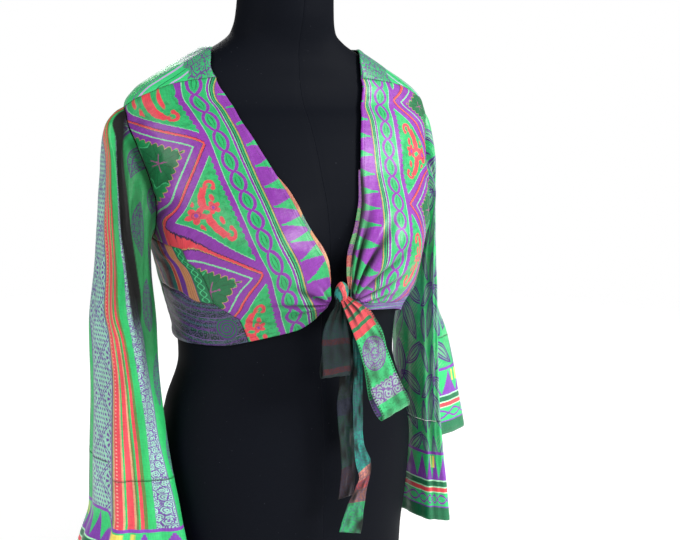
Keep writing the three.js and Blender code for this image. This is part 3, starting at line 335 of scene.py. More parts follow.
def curve(at, xs, ys):
    """A smooth curve through points that never overshoots: cubic pieces whose slopes at a point
    are the weighted harmonic mean of the slopes beside it, and 0 at a peak."""
    xs, ys = np.asarray(xs, float), np.asarray(ys, float)
    step = np.diff(xs)
    slope = np.diff(ys) / step
    tangent = np.empty_like(ys)
    tangent[0], tangent[-1] = slope[0], slope[-1]
    before, after = 2 * step[1:] + step[:-1], step[1:] + 2 * step[:-1]
    level = slope[:-1] * slope[1:] <= 0
    left = np.where(level, 1.0, slope[:-1])
    right = np.where(level, 1.0, slope[1:])
    tangent[1:-1] = np.where(level, 0.0, (before + after) / (before / left + after / right))
    value = np.clip(at, xs[0], xs[-1])
    k = np.clip(np.searchsorted(xs, value, side="right") - 1, 0, len(step) - 1)
    t = (value - xs[k]) / step[k]
    return (
        (2 * t**3 - 3 * t**2 + 1) * ys[k]
        + (3 * t**2 - 2 * t**3) * ys[k + 1]
        + (t**3 - 2 * t**2 + t) * step[k] * tangent[k]
        + (t**3 - t**2) * step[k] * tangent[k + 1]
    )


def form_point(angle, z):
    """The form: at each height a rounded section, half width by depth, made squarer by the
    squares of sine and cosine, with two bells for the bust added to its front."""
    heights = FORM_SECTIONS[:, 0]
    half, front, back, middle, square = [curve(z, heights, FORM_SECTIONS[:, i]) for i in range(1, 6)]
    sine, cosine = np.sin(angle), np.cos(angle)
    x = half * sine * (1 + square * cosine**2)
    y = middle - np.where(cosine > 0, front, back) * cosine * (1 + square * sine**2)
    bust = bell((x - BUST_X) / BUST_WIDTH) + bell((x + BUST_X) / BUST_WIDTH)
    y = y - BUST_DEPTH * bust * bell((z - BUST_HEIGHT) / BUST_RISE) * ease(cosine / 0.5)
    return np.stack([x, y, z + 0 * x], -1)


def form_normal(angle, z):
    """The way out of the form: the cross product of small steps around and up."""
    around = form_point(angle + 0.01, z) - form_point(angle - 0.01, z)
    up = form_point(angle, z + 1.5) - form_point(angle, z - 1.5)
    out = np.cross(around, up)
    return out / np.linalg.norm(out, axis=-1, keepdims=True)


def fold_lift(rows, angle, z):
    """The sum of soft ridges: a bell of the distance from each fold's line, whose width grows
    along the line, and whose height fades from its start or towards both of its ends."""
    total = np.zeros(np.broadcast(angle, z).shape)
    for start, low, end, high, narrow, wide, height, gathered in rows:
        start_x = np.radians(start) * HALF_GIRTH
        run_x, run_z = np.radians(end) * HALF_GIRTH - start_x, high - low
        x, rise = angle * HALF_GIRTH - start_x, z - low
        along = np.clip((x * run_x + rise * run_z) / (run_x**2 + run_z**2), 0, 1)
        distance = np.hypot(x - along * run_x, rise - along * run_z)
        fade = 1 - ease(along) if gathered else ease(4 * along * (1 - along))
        total = total + height * fade * bell(distance / (narrow + (wide - narrow) * along))
    return total


def ripple(x, z, seed):
    """Small waves of cloth: three sines across bent lines, of about 0.4 mm together."""
    bend = 14 * np.sin(z / 31 + seed) + 9 * np.sin(x / 23 + 2 * seed)
    return (
        0.22 * np.sin((x + bend) / 9.5 + seed)
        + 0.16 * np.sin((0.6 * x - 0.8 * z + bend) / 7.1 + 3 * seed)
        + 0.10 * np.sin((0.3 * x + z - bend) / 4.6 + 5 * seed)
    )


def cloth_lift(angle, z, creases=0.0):
    """How far the cloth stands off the form: a clearance, a bridge over the hollow above the
    knot, a straight fall under the bust, ease before the armholes, and the folds."""
    way = turned(angle)
    front = np.clip(np.cos(way) / 0.5, 0, 1)
    bridge = BRIDGE_LIFT * bell(HALF_GIRTH * np.sin(way) / BRIDGE_WIDTH)
    bridge = bridge * bell((z - BRIDGE_HEIGHT) / BRIDGE_RISE) * front
    under = UNDER_LIFT * bell((z - UNDER_HEIGHT) / UNDER_RISE) * front
    spare = EASE_LIFT * bell((np.abs(way) - np.radians(EASE_ANGLE)) / np.radians(EASE_WIDTH))
    spare = spare * bell((z - EASE_HEIGHT) / EASE_RISE)
    lift = CLEARANCE + bridge + under + spare + fold_lift(FOLDS, way, z)
    if creases:
        lift = lift + creases * (fold_lift(CREASES, way, z) + ripple(way * HALF_GIRTH, z, 1.3))
    return lift


def cloth_point(angle, z, offset=0.0, creases=0.0):
    """A point of the cloth: the form's point moved out along its normal by the lift."""
    reach = cloth_lift(angle, z, creases) + offset
    return form_point(angle, z) + form_normal(angle, z) * reach[..., None]


def walk(places, steps):
    """Places spread evenly along a smooth line through given places."""
    places = np.asarray(places, float)
    run = run_of(places * PLACE_SCALE)
    at = np.linspace(0, run[-1], steps + 1)
    if len(places) < 3:
        return np.stack([np.interp(at, run, places[:, i]) for i in (0, 1)], -1)
    return np.stack([curve(at, run, places[:, i]) for i in (0, 1)], -1)


def join(*lines):
    """Lines of places end to end, the shared places counted once."""
    return np.concatenate([lines[0]] + [line[1:] for line in lines[1:]])


def fill(bottom, top, start, end):
    """A grid inside four edges: the mean across plus the mean up, less the corners' share."""
    u = np.linspace(0, 1, len(bottom))[None, :, None]
    v = np.linspace(0, 1, len(start))[:, None, None]
    across = start[:, None] * (1 - u) + end[:, None] * u
    up = bottom[None] * (1 - v) + top[None] * v
    low = bottom[0] * (1 - u) + bottom[-1] * u
    high = top[0] * (1 - u) + top[-1] * u
    return across + up - (low * (1 - v) + high * v)


def run_of(points):
    """The distance along a line of points from its first to each: a sum of chords."""
    return np.concatenate([[0], np.cumsum(np.linalg.norm(np.diff(points, axis=0), axis=1))])


def turned(angle):
    """An angle brought into half a turn either side of 0."""
    return np.arctan2(np.sin(angle), np.cos(angle))


def doubled(hem):
    """1 where a hem is turned under, 0 beyond its stitch line, by the distance from the edge."""
    return 1 - ease((hem - HEM_WIDTH) / HEM_STEP)


def unit(vectors):
    """Vectors brought to length 1."""
    return vectors / np.maximum(np.linalg.norm(vectors, axis=-1, keepdims=True), 1e-9)


def edge_runs(grid):
    """Distances over a grid from its first row, last row, first column and last column."""
    rows = np.linalg.norm(np.diff(grid, axis=0), axis=-1)
    columns = np.linalg.norm(np.diff(grid, axis=1), axis=-1)
    up = np.concatenate([np.zeros((1, grid.shape[1])), np.cumsum(rows, 0)], 0)
    along = np.concatenate([np.zeros((grid.shape[0], 1)), np.cumsum(columns, 1)], 1)
    return {"bottom": up, "top": up[-1:] - up, "start": along, "end": along[:, -1:] - along}


def nearest(runs, names):
    """The smallest of some of those distances."""
    return np.minimum.reduce([runs[name] for name in names]) if names else runs["bottom"] * 0 + FAR


def skin(outer, inner, around=False):
    """A thin closed wall between two grids: both faces and the rim. Returns vertices, faces,
    the grid place of each face corner, and which faces are rim."""
    rows, columns = outer.shape[:2]
    count = rows * columns
    wide = columns + 1 if around else columns
    r, c = np.mgrid[0:rows - 1, 0:wide - 1]
    at = lambda row, column: row * columns + column % columns
    spot = lambda row, column: row * wide + column
    corners = [(r, c), (r, c + 1), (r + 1, c + 1), (r + 1, c)]
    face = np.stack([at(*k) for k in corners], -1).reshape(-1, 4)
    place = np.stack([spot(*k) for k in corners], -1).reshape(-1, 4)
    if around:
        side = np.arange(columns)
        last = np.full(columns, rows - 1)
        first = np.zeros(columns, int)
        rim = np.concatenate([
            np.stack([at(first, side + 1), at(first, side), at(first, side) + count,
                      at(first, side + 1) + count], -1),
            np.stack([at(last, side), at(last, side + 1), at(last, side + 1) + count,
                      at(last, side) + count], -1),
        ])
        rim_place = np.concatenate([
            np.stack([spot(first, side + 1), spot(first, side), spot(first, side),
                      spot(first, side + 1)], -1),
            np.stack([spot(last, side), spot(last, side + 1), spot(last, side + 1),
                      spot(last, side)], -1),
        ])
    else:
        edge = np.concatenate([
            np.arange(columns - 1), np.arange(rows - 1) * columns + columns - 1,
            (rows - 1) * columns + np.arange(columns - 1, 0, -1), np.arange(rows - 1, 0, -1) * columns,
        ])
        after = np.roll(edge, -1)
        rim = np.stack([edge, edge + count, after + count, after], -1)
        rim_place = np.stack([edge, edge, after, after], -1)
    vertices = np.concatenate([outer.reshape(-1, 3), inner.reshape(-1, 3)])
    faces = np.concatenate([face, face[:, ::-1] + count, rim])
    places = np.concatenate([place, place[:, ::-1], rim_place])
    corner = vertices[face]
    out = np.cross(corner[:, 2] - corner[:, 0], corner[:, 3] - corner[:, 1])
    way = (outer - inner).reshape(-1, 3)[face[:, 0]]
    if np.sum(out * way) < 0:
        faces, places = faces[:, ::-1], places[:, ::-1]
    is_rim = np.zeros(len(faces), bool)
    is_rim[2 * len(face):] = True
    return vertices, faces, places, is_rim


def close_ends(grid, ends):
    """A closed form from rings, bottom to top, and a point below and above them: the vertices
    and the faces, four-sided between the rings and three-sided at the ends."""
    rows, columns = grid.shape[:2]
    at = lambda row, column: row * columns + column % columns
    r, c = np.mgrid[0:rows - 1, 0:columns]
    faces = np.stack([at(r, c), at(r, c + 1), at(r + 1, c + 1), at(r + 1, c)], -1).reshape(-1, 4)
    around, count = np.arange(columns), rows * columns
    low = np.stack([at(0, around + 1), at(0, around), 0 * around + count], -1)
    high = np.stack([at(rows - 1, around), at(rows - 1, around + 1), 0 * around + count + 1], -1)
    return np.concatenate([grid.reshape(-1, 3), ends]), [f for part in (faces, low, high) for f in part]


def put(name, vertices, faces, maps, places, flat, material, node):
    """A mesh from millimetre vertices, with UV maps in metres by grid place, that rides on the
    body and stands for its CAD node."""
    mesh = bpy.data.meshes.new(name)
    mesh.from_pydata((vertices * 0.001).tolist(), [], [f.tolist() for f in faces])
    for layer, values in maps.items():
        uv = mesh.uv_layers.new(name=layer)
        flat_places = np.concatenate([np.asarray(p).ravel() for p in places])
        uv.data.foreach_set("uv", values.reshape(-1, 2)[flat_places].astype(np.float32).ravel())
    mesh.polygons.foreach_set("use_smooth", (~np.asarray(flat)).tolist())
    mesh.materials.append(material)
    mesh.update()
    piece = bpy.data.objects.new(name, mesh)
    bpy.context.scene.collection.objects.link(piece)
    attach(piece, "root")
    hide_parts(node)
    return piece


def area_of(grid):
    """The area of a grid's surface in square metres, half the cross product of diagonals."""
    a, b = grid[1:, 1:] - grid[:-1, :-1], grid[1:, :-1] - grid[:-1, 1:]
    return float(np.linalg.norm(np.cross(a, b), axis=-1).sum() / 2 * 1e-6)


def declare(grid, around=False):
    """Works out a grid's runs from its edges and the area of its surface, and keeps neither.
    Says how large the cloth was cut: the longest run over its grid each way, with the width
    raised where that rectangle would be too small for the area.
    """
    shut = np.concatenate([grid, grid[:, :1]], 1) if around else grid
    runs = edge_runs(shut)
    area = area_of(shut)


def cloth(name, outer, inner, maps, material, cut=None, around=False):
    """A cloth piece from its two faces, that rides on the body and stands for its CAD node; the runs
    and area of its cut, or else of its outer face, are worked out and not kept.
    """
    vertices, faces, places, rim = skin(outer, inner, around)
    piece = put(name + "_cloth", vertices, faces, maps, places, rim, material, name)
    declare(outer if cut is None else cut, around)


def maps_for(u, v, hem, seam, shade=0.0):
    """The UV maps of a cloth piece: the print's and the distances to the nearest hem and seam,
    in metres, and in the folds map how much shade is painted at a place, from 0 to 1, mostly where
    it lies down in a fold."""
    return {
        "print": np.stack([u, v], -1) * 0.001,
        "edges": np.stack([hem, seam], -1) * 0.001,
        "folds": np.stack([shade + 0 * hem, 0 * hem], -1),
    }


def sewn(angle, z, hems, seams, look):
    """A panel's surface on the body and its two faces: pressed in along its seams, doubled along
    its hems, with a small pucker that follows each, and drawn back by half the seam gap."""
    base, normal = cloth_point(angle, z, WALL, look.crease_depth), form_normal(angle, z)
    runs = edge_runs(base)
    hem, seam = nearest(runs, hems), nearest(runs, seams)
    run = runs["bottom"] + runs["start"]
    pucker = 0.18 * np.sin(run / 2.9) * bell(seam / 5) + 0.22 * np.sin(run / 4.3) * bell((hem - 5) / 4)
    press = -SEAM_PRESS * bell(seam / SEAM_WIDTH) + HEM_RAISE * doubled(hem) + pucker
    outer = base + normal * press[..., None]
    gap = SEAM_GAP / 2
    for near, far in ((0, 1), (-1, -2)):
        outer[near] += gap * unit(outer[far] - outer[near])
        outer[:, near] += gap * unit(outer[:, far] - outer[:, near])
    thick = look.cloth_thickness * 1000 * (1 + HEM_THICKEN * doubled(hem))
    return base, outer, outer - normal * thick[..., None], hem, seam


# Shared edges of one side, stepped so that neighbouring panels meet.
FINE = 7


def side_edges(side):
    """The seams of one side, as places."""
    cut = CUT[side]
    band_end = cut["band_top"][-1]
    return {
        "princess": walk(cut["princess"], 4 * FINE),
        "side_top": walk(cut["side_top"], 3 * FINE),
        "underarm": walk([(91, 465), (SIDE_SEAM, UNDERARM_HEIGHT)], 3 * FINE),
        "band_top": walk(cut["band_top"], 6 * FINE),
        "side_seam": walk([band_end, (SIDE_SEAM, UNDERARM_HEIGHT)], 4 * FINE),
        "band_seam": walk([(SIDE_SEAM, HEM_HEIGHT), band_end], 2 * FINE),
        "armhole_front": walk(ARMHOLE_FRONT, 9 * FINE),
        "armhole_back": walk(ARMHOLE_BACK, 9 * FINE),
        "shoulder": walk(cut["shoulder"], 12 * FINE),
    }


EDGES = {side: side_edges(side) for side in ("right", "left")}
SIGN = {"right": -1.0, "left": 1.0}


def front_places(side):
    """The grid of places of a front panel, outer edge to neck edge, hem to shoulder."""
    cut, shared = CUT[side], EDGES[side]
    outer = [shared["princess"], shared["side_top"], shared["armhole_front"]]
    if side == "right":
        outer = [walk(cut["dart"], 2 * FINE), walk(cut["dart_to_side"], 2 * FINE)] + outer
        neck = [walk(cut["neck_end"], 2 * FINE), walk(cut["neck_low"], 2 * FINE),
                walk(cut["neck"], 16 * FINE)]
    else:
        neck = [walk(cut["neck_low"], 4 * FINE), walk(cut["neck"], 12 * FINE)]
    return fill(walk(cut["hem"], 12 * FINE), shared["shoulder"], join(*outer), join(*neck))


def side_places(side):
    """The grid of places of the small side panel under the arm."""
    shared = EDGES[side]
    top = join(shared["side_top"], shared["underarm"])
    return fill(shared["band_top"], top, shared["princess"], shared["side_seam"])


def band_places(side):
    """The grid of places of the band under the bust."""
    cut, shared = CUT[side], EDGES[side]
    if side == "right":
        start, inner = cut["dart"], walk(cut["dart_to_side"], 2 * FINE)
    else:
        start, inner = [cut["band_hem"][0], cut["hem"][-1]], walk(cut["hem"], 12 * FINE)[::-1]
    top = join(inner, shared["band_top"])
    hem = walk(cut["band_hem"], len(top) - 1)
    return fill(hem, top, walk(start, 2 * FINE), shared["band_seam"])


def back_places():
    """The grid of places of the back: level lines between its two side edges, which run up the
    side, round the armhole, along the shoulder seam and round the neck."""
    line = lambda side: join(
        EDGES[side]["band_seam"], EDGES[side]["side_seam"], EDGES[side]["armhole_back"],
        walk(CUT[side]["shoulder"], 5 * FINE), walk(CUT[side]["neck_top"], 3 * FINE),
    )
    right = line("right") * np.array([-1, 1])
    left = line("left") - np.array([360, 0])
    t = np.linspace(0, 1, 22 * FINE + 1)[None, :, None]
    return right[:, None] * (1 - t) + left[:, None] * t


def girth_run(angle, z):
    """The distance round the cloth from the front centre at one height: a sum of chords."""
    t = np.linspace(0, 1, 25)
    points = cloth_point(angle[..., None] * t, z[..., None] + 0 * t)
    return np.linalg.norm(np.diff(points, axis=-2), axis=-1).sum(-1) * np.sign(angle)


def border_coordinates(side, angle, z):
    """Where a place lies on the printed cloth of a front: its length along the chain, counted in
    millimetres of print, and its distance from the chain, positive towards the neck."""
    line = np.array(CHAIN[side], float)
    heights = np.linspace(330, 700, 240)
    chain_angle = SIGN[side] * np.radians(curve(heights, line[:, 1], line[:, 0]))
    chain_s = np.abs(girth_run(chain_angle, heights))
    points = cloth_point(chain_angle, heights)
    length = run_of(points)
    lean = np.arctan(np.gradient(chain_s, heights))
    smooth_lean = np.convolve(np.pad(lean, 12, mode="edge"), np.ones(25) / 25, "valid")
    away = np.abs(girth_run(angle, z)) - np.interp(z, heights, chain_s)
    tilt = np.interp(z, heights, smooth_lean)
    start, scale = PRINT_START[side]
    along = (np.interp(z, heights, length) + away * np.sin(tilt) - start) * scale
    across = away * np.cos(tilt)
    if side == "right":
        spots, moves = PRINT_SHIFT[:, :2], PRINT_SHIFT[:, 2:]
        bend = lambda a, b: np.sqrt(((a[..., None, :] - b) ** 2).sum(-1) + SHIFT_ROUNDING**2)
        weights = np.linalg.solve(bend(spots, spots), moves)
        shift = bend(np.stack([along, across], -1), spots) @ weights
        along, across = along + shift[..., 0], across + shift[..., 1]
    return along, -across


def deep_shade(name, places, neck_distance):
    """The larger painted shade on a front: a bell of height that grows towards the right armhole, and
    on the left a painted dark fold beside the neck edge, widest at the bust."""
    z = places[..., 1]
    if name == "front_right":
        return 0.5 * ease((places[..., 0] - 60) / 16) * bell((z - 492) / 62)
    if name == "front_left":
        width = 2.2 + 4.2 * ease((z - 420) / 60) - 3.4 * ease((z - 500) / 60)
        depth = ease((z - 408) / 14) * ease((566 - z) / 40)
        return 1.1 * depth * ease((width - neck_distance) / 2.2 + 0.5)
    return 0.0


def panel(name, places, side, hems, seams, material, look):
    """A cloth panel over a grid of places, outer and inner face, with its print."""
    angle, z = SIGN[side] * np.radians(places[..., 0]), places[..., 1]
    base, outer, inner, hem, seam = sewn(angle, z, hems, seams, look)
    runs = edge_runs(base)
    if name.startswith("front"):
        u, v = border_coordinates(side, angle, z)
    else:
        u, v = runs["start"], runs["bottom"]
    # Painted shade: the colour is darkened where the fine creases are pressed in, and more by the right
    # armhole and the left neck edge.
    shade = -look.crease_depth * fold_lift(CREASES, angle, z) / FULL_SHADE_CREASE["panel"]
    shade = np.clip(shade + deep_shade(name, places, runs["end"]), 0, 1)
    cloth(name, outer, inner, maps_for(u, v, hem, seam, shade), material)


def sleeve_outline(table, angle, z, creases):
    """A sleeve's level outline: an ellipse made squarer, whose reach changes from behind to in
    front, with bells of angle taken off for pleats and added for ridges."""
    heights = table["sections"][::-1, 0]
    outer, ahead, inner, front, back = [
        curve(z, heights, table["sections"][::-1, i]) for i in range(1, 6)]
    cosine, sine = np.cos(angle), np.sin(angle)
    reach = outer + (ahead - outer) * ease((sine + 0.1) / 0.9)
    middle_x, middle_y = (reach + inner) / 2, (front + back) / 2
    away = (reach - inner) / 2 * cosine * (1 + SLEEVE_SQUARE * sine**2)
    forward = (back - front) / 2 * sine * (1 + SLEEVE_SQUARE * cosine**2)
    radius = np.hypot(away, forward)
    change = np.zeros_like(radius)
    rows = [(row, 1.0) for row in table["pleats"]] + [(row, creases) for row in table["creases"]]
    for (top, middle, bottom, high, low, width, depth, fade), share in rows:
        down = np.clip((high - z) / (high - low), 0, 1)
        centre = np.where(down < 0.5, top + (middle - top) * 2 * down,
                          middle + (bottom - middle) * (2 * down - 1))
        rest = (1 + (fade - 1) * ease(down)) * ease((z - low) / 40 + (low <= 20))
        bump = bell(turned(angle - np.radians(centre)) / np.radians(width))
        change = change - share * depth * ease((high - z) / 45) * rest * bump
    for centre, high, low, width, rise in table["ridges"]:
        change = change + rise * ease((high - z) / (high - low)) * bell(
            turned(angle - np.radians(centre)) / np.radians(width))
    change = change + creases * 0.9 * ripple(angle * 60, z * 0.45, 2.1) * ease((600 - z) / 60)
    scale = (radius + change) / radius
    # Painted shade, darker where the outline is pressed in by more than 6 mm.
    shade = np.clip((-change - 6) / 17, 0, 1)
    return middle_x + away * scale, middle_y - forward * scale, shade


def sleeve_grids(side, creases):
    """The rings of a whole sleeve from the armhole to the hem, how far each point lies from the
    seam above the hem, and which ring that seam is, with the way out at each point and the
    shade painted into its pleats."""
    table, sign, shared = SLEEVES[side], SIGN[side], EDGES[side]
    loop = join(shared["armhole_front"][::-1], shared["underarm"], shared["armhole_back"])
    run = run_of(loop * PLACE_SCALE)
    at = np.linspace(0, run[-1], MARKS * MARK_STEPS + 1)[:-1]
    loop = np.stack([np.interp(at, run, loop[:, i]) for i in (0, 1)], -1)
    angle, height = sign * np.radians(loop[:, 0]), loop[:, 1]
    mouths = cloth_point(angle, height, WALL + SEAM_GAP)
    middle = mouths.mean(0)
    turns = np.arctan2((middle[1] - mouths[:, 1]) * 1.35, mouths[:, 2] - middle[2])
    low, lift, centre, level, fade = table["hem"]
    gap = np.abs(turned(turns - np.radians(centre)))
    hem = low + lift * (1 - ease((gap - np.radians(level)) / np.radians(fade)))
    seam = hem + SLEEVE_END_LENGTH
    index = np.linspace(0, RINGS, RINGS * RING_STEPS + 1)
    drop = curve(index, np.arange(RINGS + 1), SLEEVE_DROPS)[:, None]
    blend = curve(index, np.arange(RINGS + 1), SLEEVE_BLEND)[:, None]
    upper = mouths[:, 2] * (1 - drop) + seam * drop
    share = np.linspace(0, 1, END_STEPS + 1)[1:, None]
    z = np.concatenate([upper, seam - SLEEVE_END_LENGTH * share])
    blend = np.concatenate([blend, np.ones_like(share)])
    x, y, shade = sleeve_outline(table, turns[None] + 0 * z, z, creases)
    rings = np.stack([
        mouths[:, 0] * (1 - blend) + sign * x * blend,
        mouths[:, 1] * (1 - blend) + y * blend,
        z,
    ], -1)
    round_way = np.roll(rings, -1, 1) - np.roll(rings, 1, 1)
    down = np.gradient(rings, axis=0)
    out = unit(np.cross(round_way, down)) * -sign
    face = form_normal(angle, height)
    first = out[0] - face * np.sum(out[0] * face, -1, keepdims=True)
    hold = ease(1 - np.arange(len(rings)) / 8.0)[:, None, None]
    out = unit(out * (1 - hold) + unit(first)[None] * hold)
    return rings, out, seam, RINGS * RING_STEPS, shade * blend


def pleat_shade(index, z):
    """The shade painted over the deep pleat: 1 between its edges and 0 beside them, times its darkness at
    that height.
    """
    low, high, dark = [curve(z, PAINTED_PLEAT_SHADE[:, 0], PAINTED_PLEAT_SHADE[:, k]) for k in (1, 2, 3)]
    return dark * ease((index - low) / 0.22 + 0.5) * ease((high - index) / 0.5 + 0.5)


def stripe_run(index, z):
    """The right sleeve's print, round the sleeve: straight runs between the four stripe edges
    of that height, and on from them round the rest, one girth in all."""
    edges = [curve(z, STRIPE_EDGES[:, 0], STRIPE_EDGES[:, k]) for k in range(1, 5)]
    first = np.where(edges[0] > 0, -12.65 * edges[0], -29 * edges[0] / (edges[1] - edges[0]))
    marks = [0 * z] + edges + [MARKS + 0 * z]
    values = [first] + [value + 0 * z for value in STRIPE_PRINT] + [first + GIRTH["right"]]
    u = np.full(np.broadcast(index, z).shape, 0.0)
    for k in range(5):
        low, high = marks[k], marks[k + 1]
        t = (index - low) / np.where(np.abs(high - low) < 1e-6, 1e-6, high - low)
        here = (index >= low) & (index <= high) if k else index <= high
        u = np.where(here, values[k] + (values[k + 1] - values[k]) * t, u)
    return u


def tie_grid(rows, wide, creases):
    """A strip of the bow: a smooth line through its points, by centripetal cubics, with a level
    way across it, gathered into small pleats near the knot and waved along its length."""
    rows = np.asarray(rows, float)
    line = rows[:, :3]
    before = np.concatenate([[2 * line[0] - line[1]], line[:-1]])[:-1]
    after = np.concatenate([line[1:], [2 * line[-1] - line[-2]]])[1:]
    start, end = line[:-1], line[1:]
    gap = lambda a, b: np.sqrt(np.maximum(np.linalg.norm(b - a, axis=1), 1e-6))[:, None]
    d0, d1, d2 = gap(before, start), gap(start, end), gap(end, after)
    leave = ((start - before) / d0 - (end - before) / (d0 + d1) + (end - start) / d1) * d1
    arrive = ((end - start) / d1 - (after - start) / (d1 + d2) + (after - end) / d2) * d1
    spot = np.linspace(0, len(rows) - 1, (len(rows) - 1) * TIE_STEPS + 1)
    k = np.minimum(spot.astype(int), len(rows) - 2)
    t = (spot - k)[:, None]
    middle = (start[k] + leave[k] * t + (3 * (end - start)[k] - 2 * leave[k] - arrive[k]) * t**2
              + (2 * (start - end)[k] + leave[k] + arrive[k]) * t**3)
    width, turn, rise = [curve(spot, np.arange(len(rows)), rows[:, i]) for i in (3, 4, 5)]
    turn, rise = np.radians(turn), np.radians(rise)
    across = np.stack([np.cos(turn) * np.cos(rise), np.sin(turn) * np.cos(rise), np.sin(rise)], -1)
    way = unit(np.gradient(middle, axis=0))
    face = unit(np.cross(across, way))
    place = np.linspace(-0.5, 0.5, wide)
    run = run_of(middle)
    near = bell(run / 38) + bell((run[-1] - run) / 38) * (np.abs(line[-1] - line[0]).max() < 20)
    pleat = (1.3 * near[:, None] + 0.25) * np.cos(place[None] * 17 + 0.6 * np.sin(run / 19)[:, None])
    slack = 0.5 if rows[0, 3] > 6.5 else 1.3
    wave = slack * np.sin(run / 13)[:, None] * (place[None] * 2) + 0.35 * np.sin(run / 7.3 + 2)[:, None]
    wave = wave + 0.5 * slack * np.sin(run / 5.1)[:, None] * np.sin(place[None] * 9 + 1)
    lift = creases * (pleat + wave) * ease(run / 12)[:, None]
    grid = middle[:, None] + across[:, None] * (place[None] * width[:, None])[..., None]
    # Painted shade where the strip dips in, and a little over all of it.
    shade = np.clip(-lift / 1.4 + 0.15, 0, 1)
    return grid + face[:, None] * lift[..., None], face[:, None] + 0 * grid, run, place, shade


class Num:
    """A number that a shader works out at each point: an operator on it adds a Math node."""

    def __init__(self, paint, socket):
        self.paint = paint
        self.socket = socket

    def __add__(self, other):
        return self.paint.maths("ADD", self, other)

    def __sub__(self, other):
        return self.paint.maths("SUBTRACT", self, other)

    def __rsub__(self, other):
        return self.paint.maths("SUBTRACT", other, self)

    def __mul__(self, other):
        return self.paint.maths("MULTIPLY", self, other)

    def __abs__(self):
        return self.paint.maths("ABSOLUTE", self)

    def __or__(self, other):
        return self.paint.maths("MAXIMUM", self, other)

    def __and__(self, other):
        return self.paint.maths("MINIMUM", self, other)

    __radd__ = __add__
    __rmul__ = __mul__


def linear(colour):
    """A colour given as six hexadecimal digits, as the linear numbers that a shader takes."""
    parts = [int(colour[i:i + 2], 16) / 255 for i in (0, 2, 4)]
    return tuple(((v + 0.055) / 1.055) ** 2.4 if v > 0.04045 else v / 12.92 for v in parts) + (1.0,)


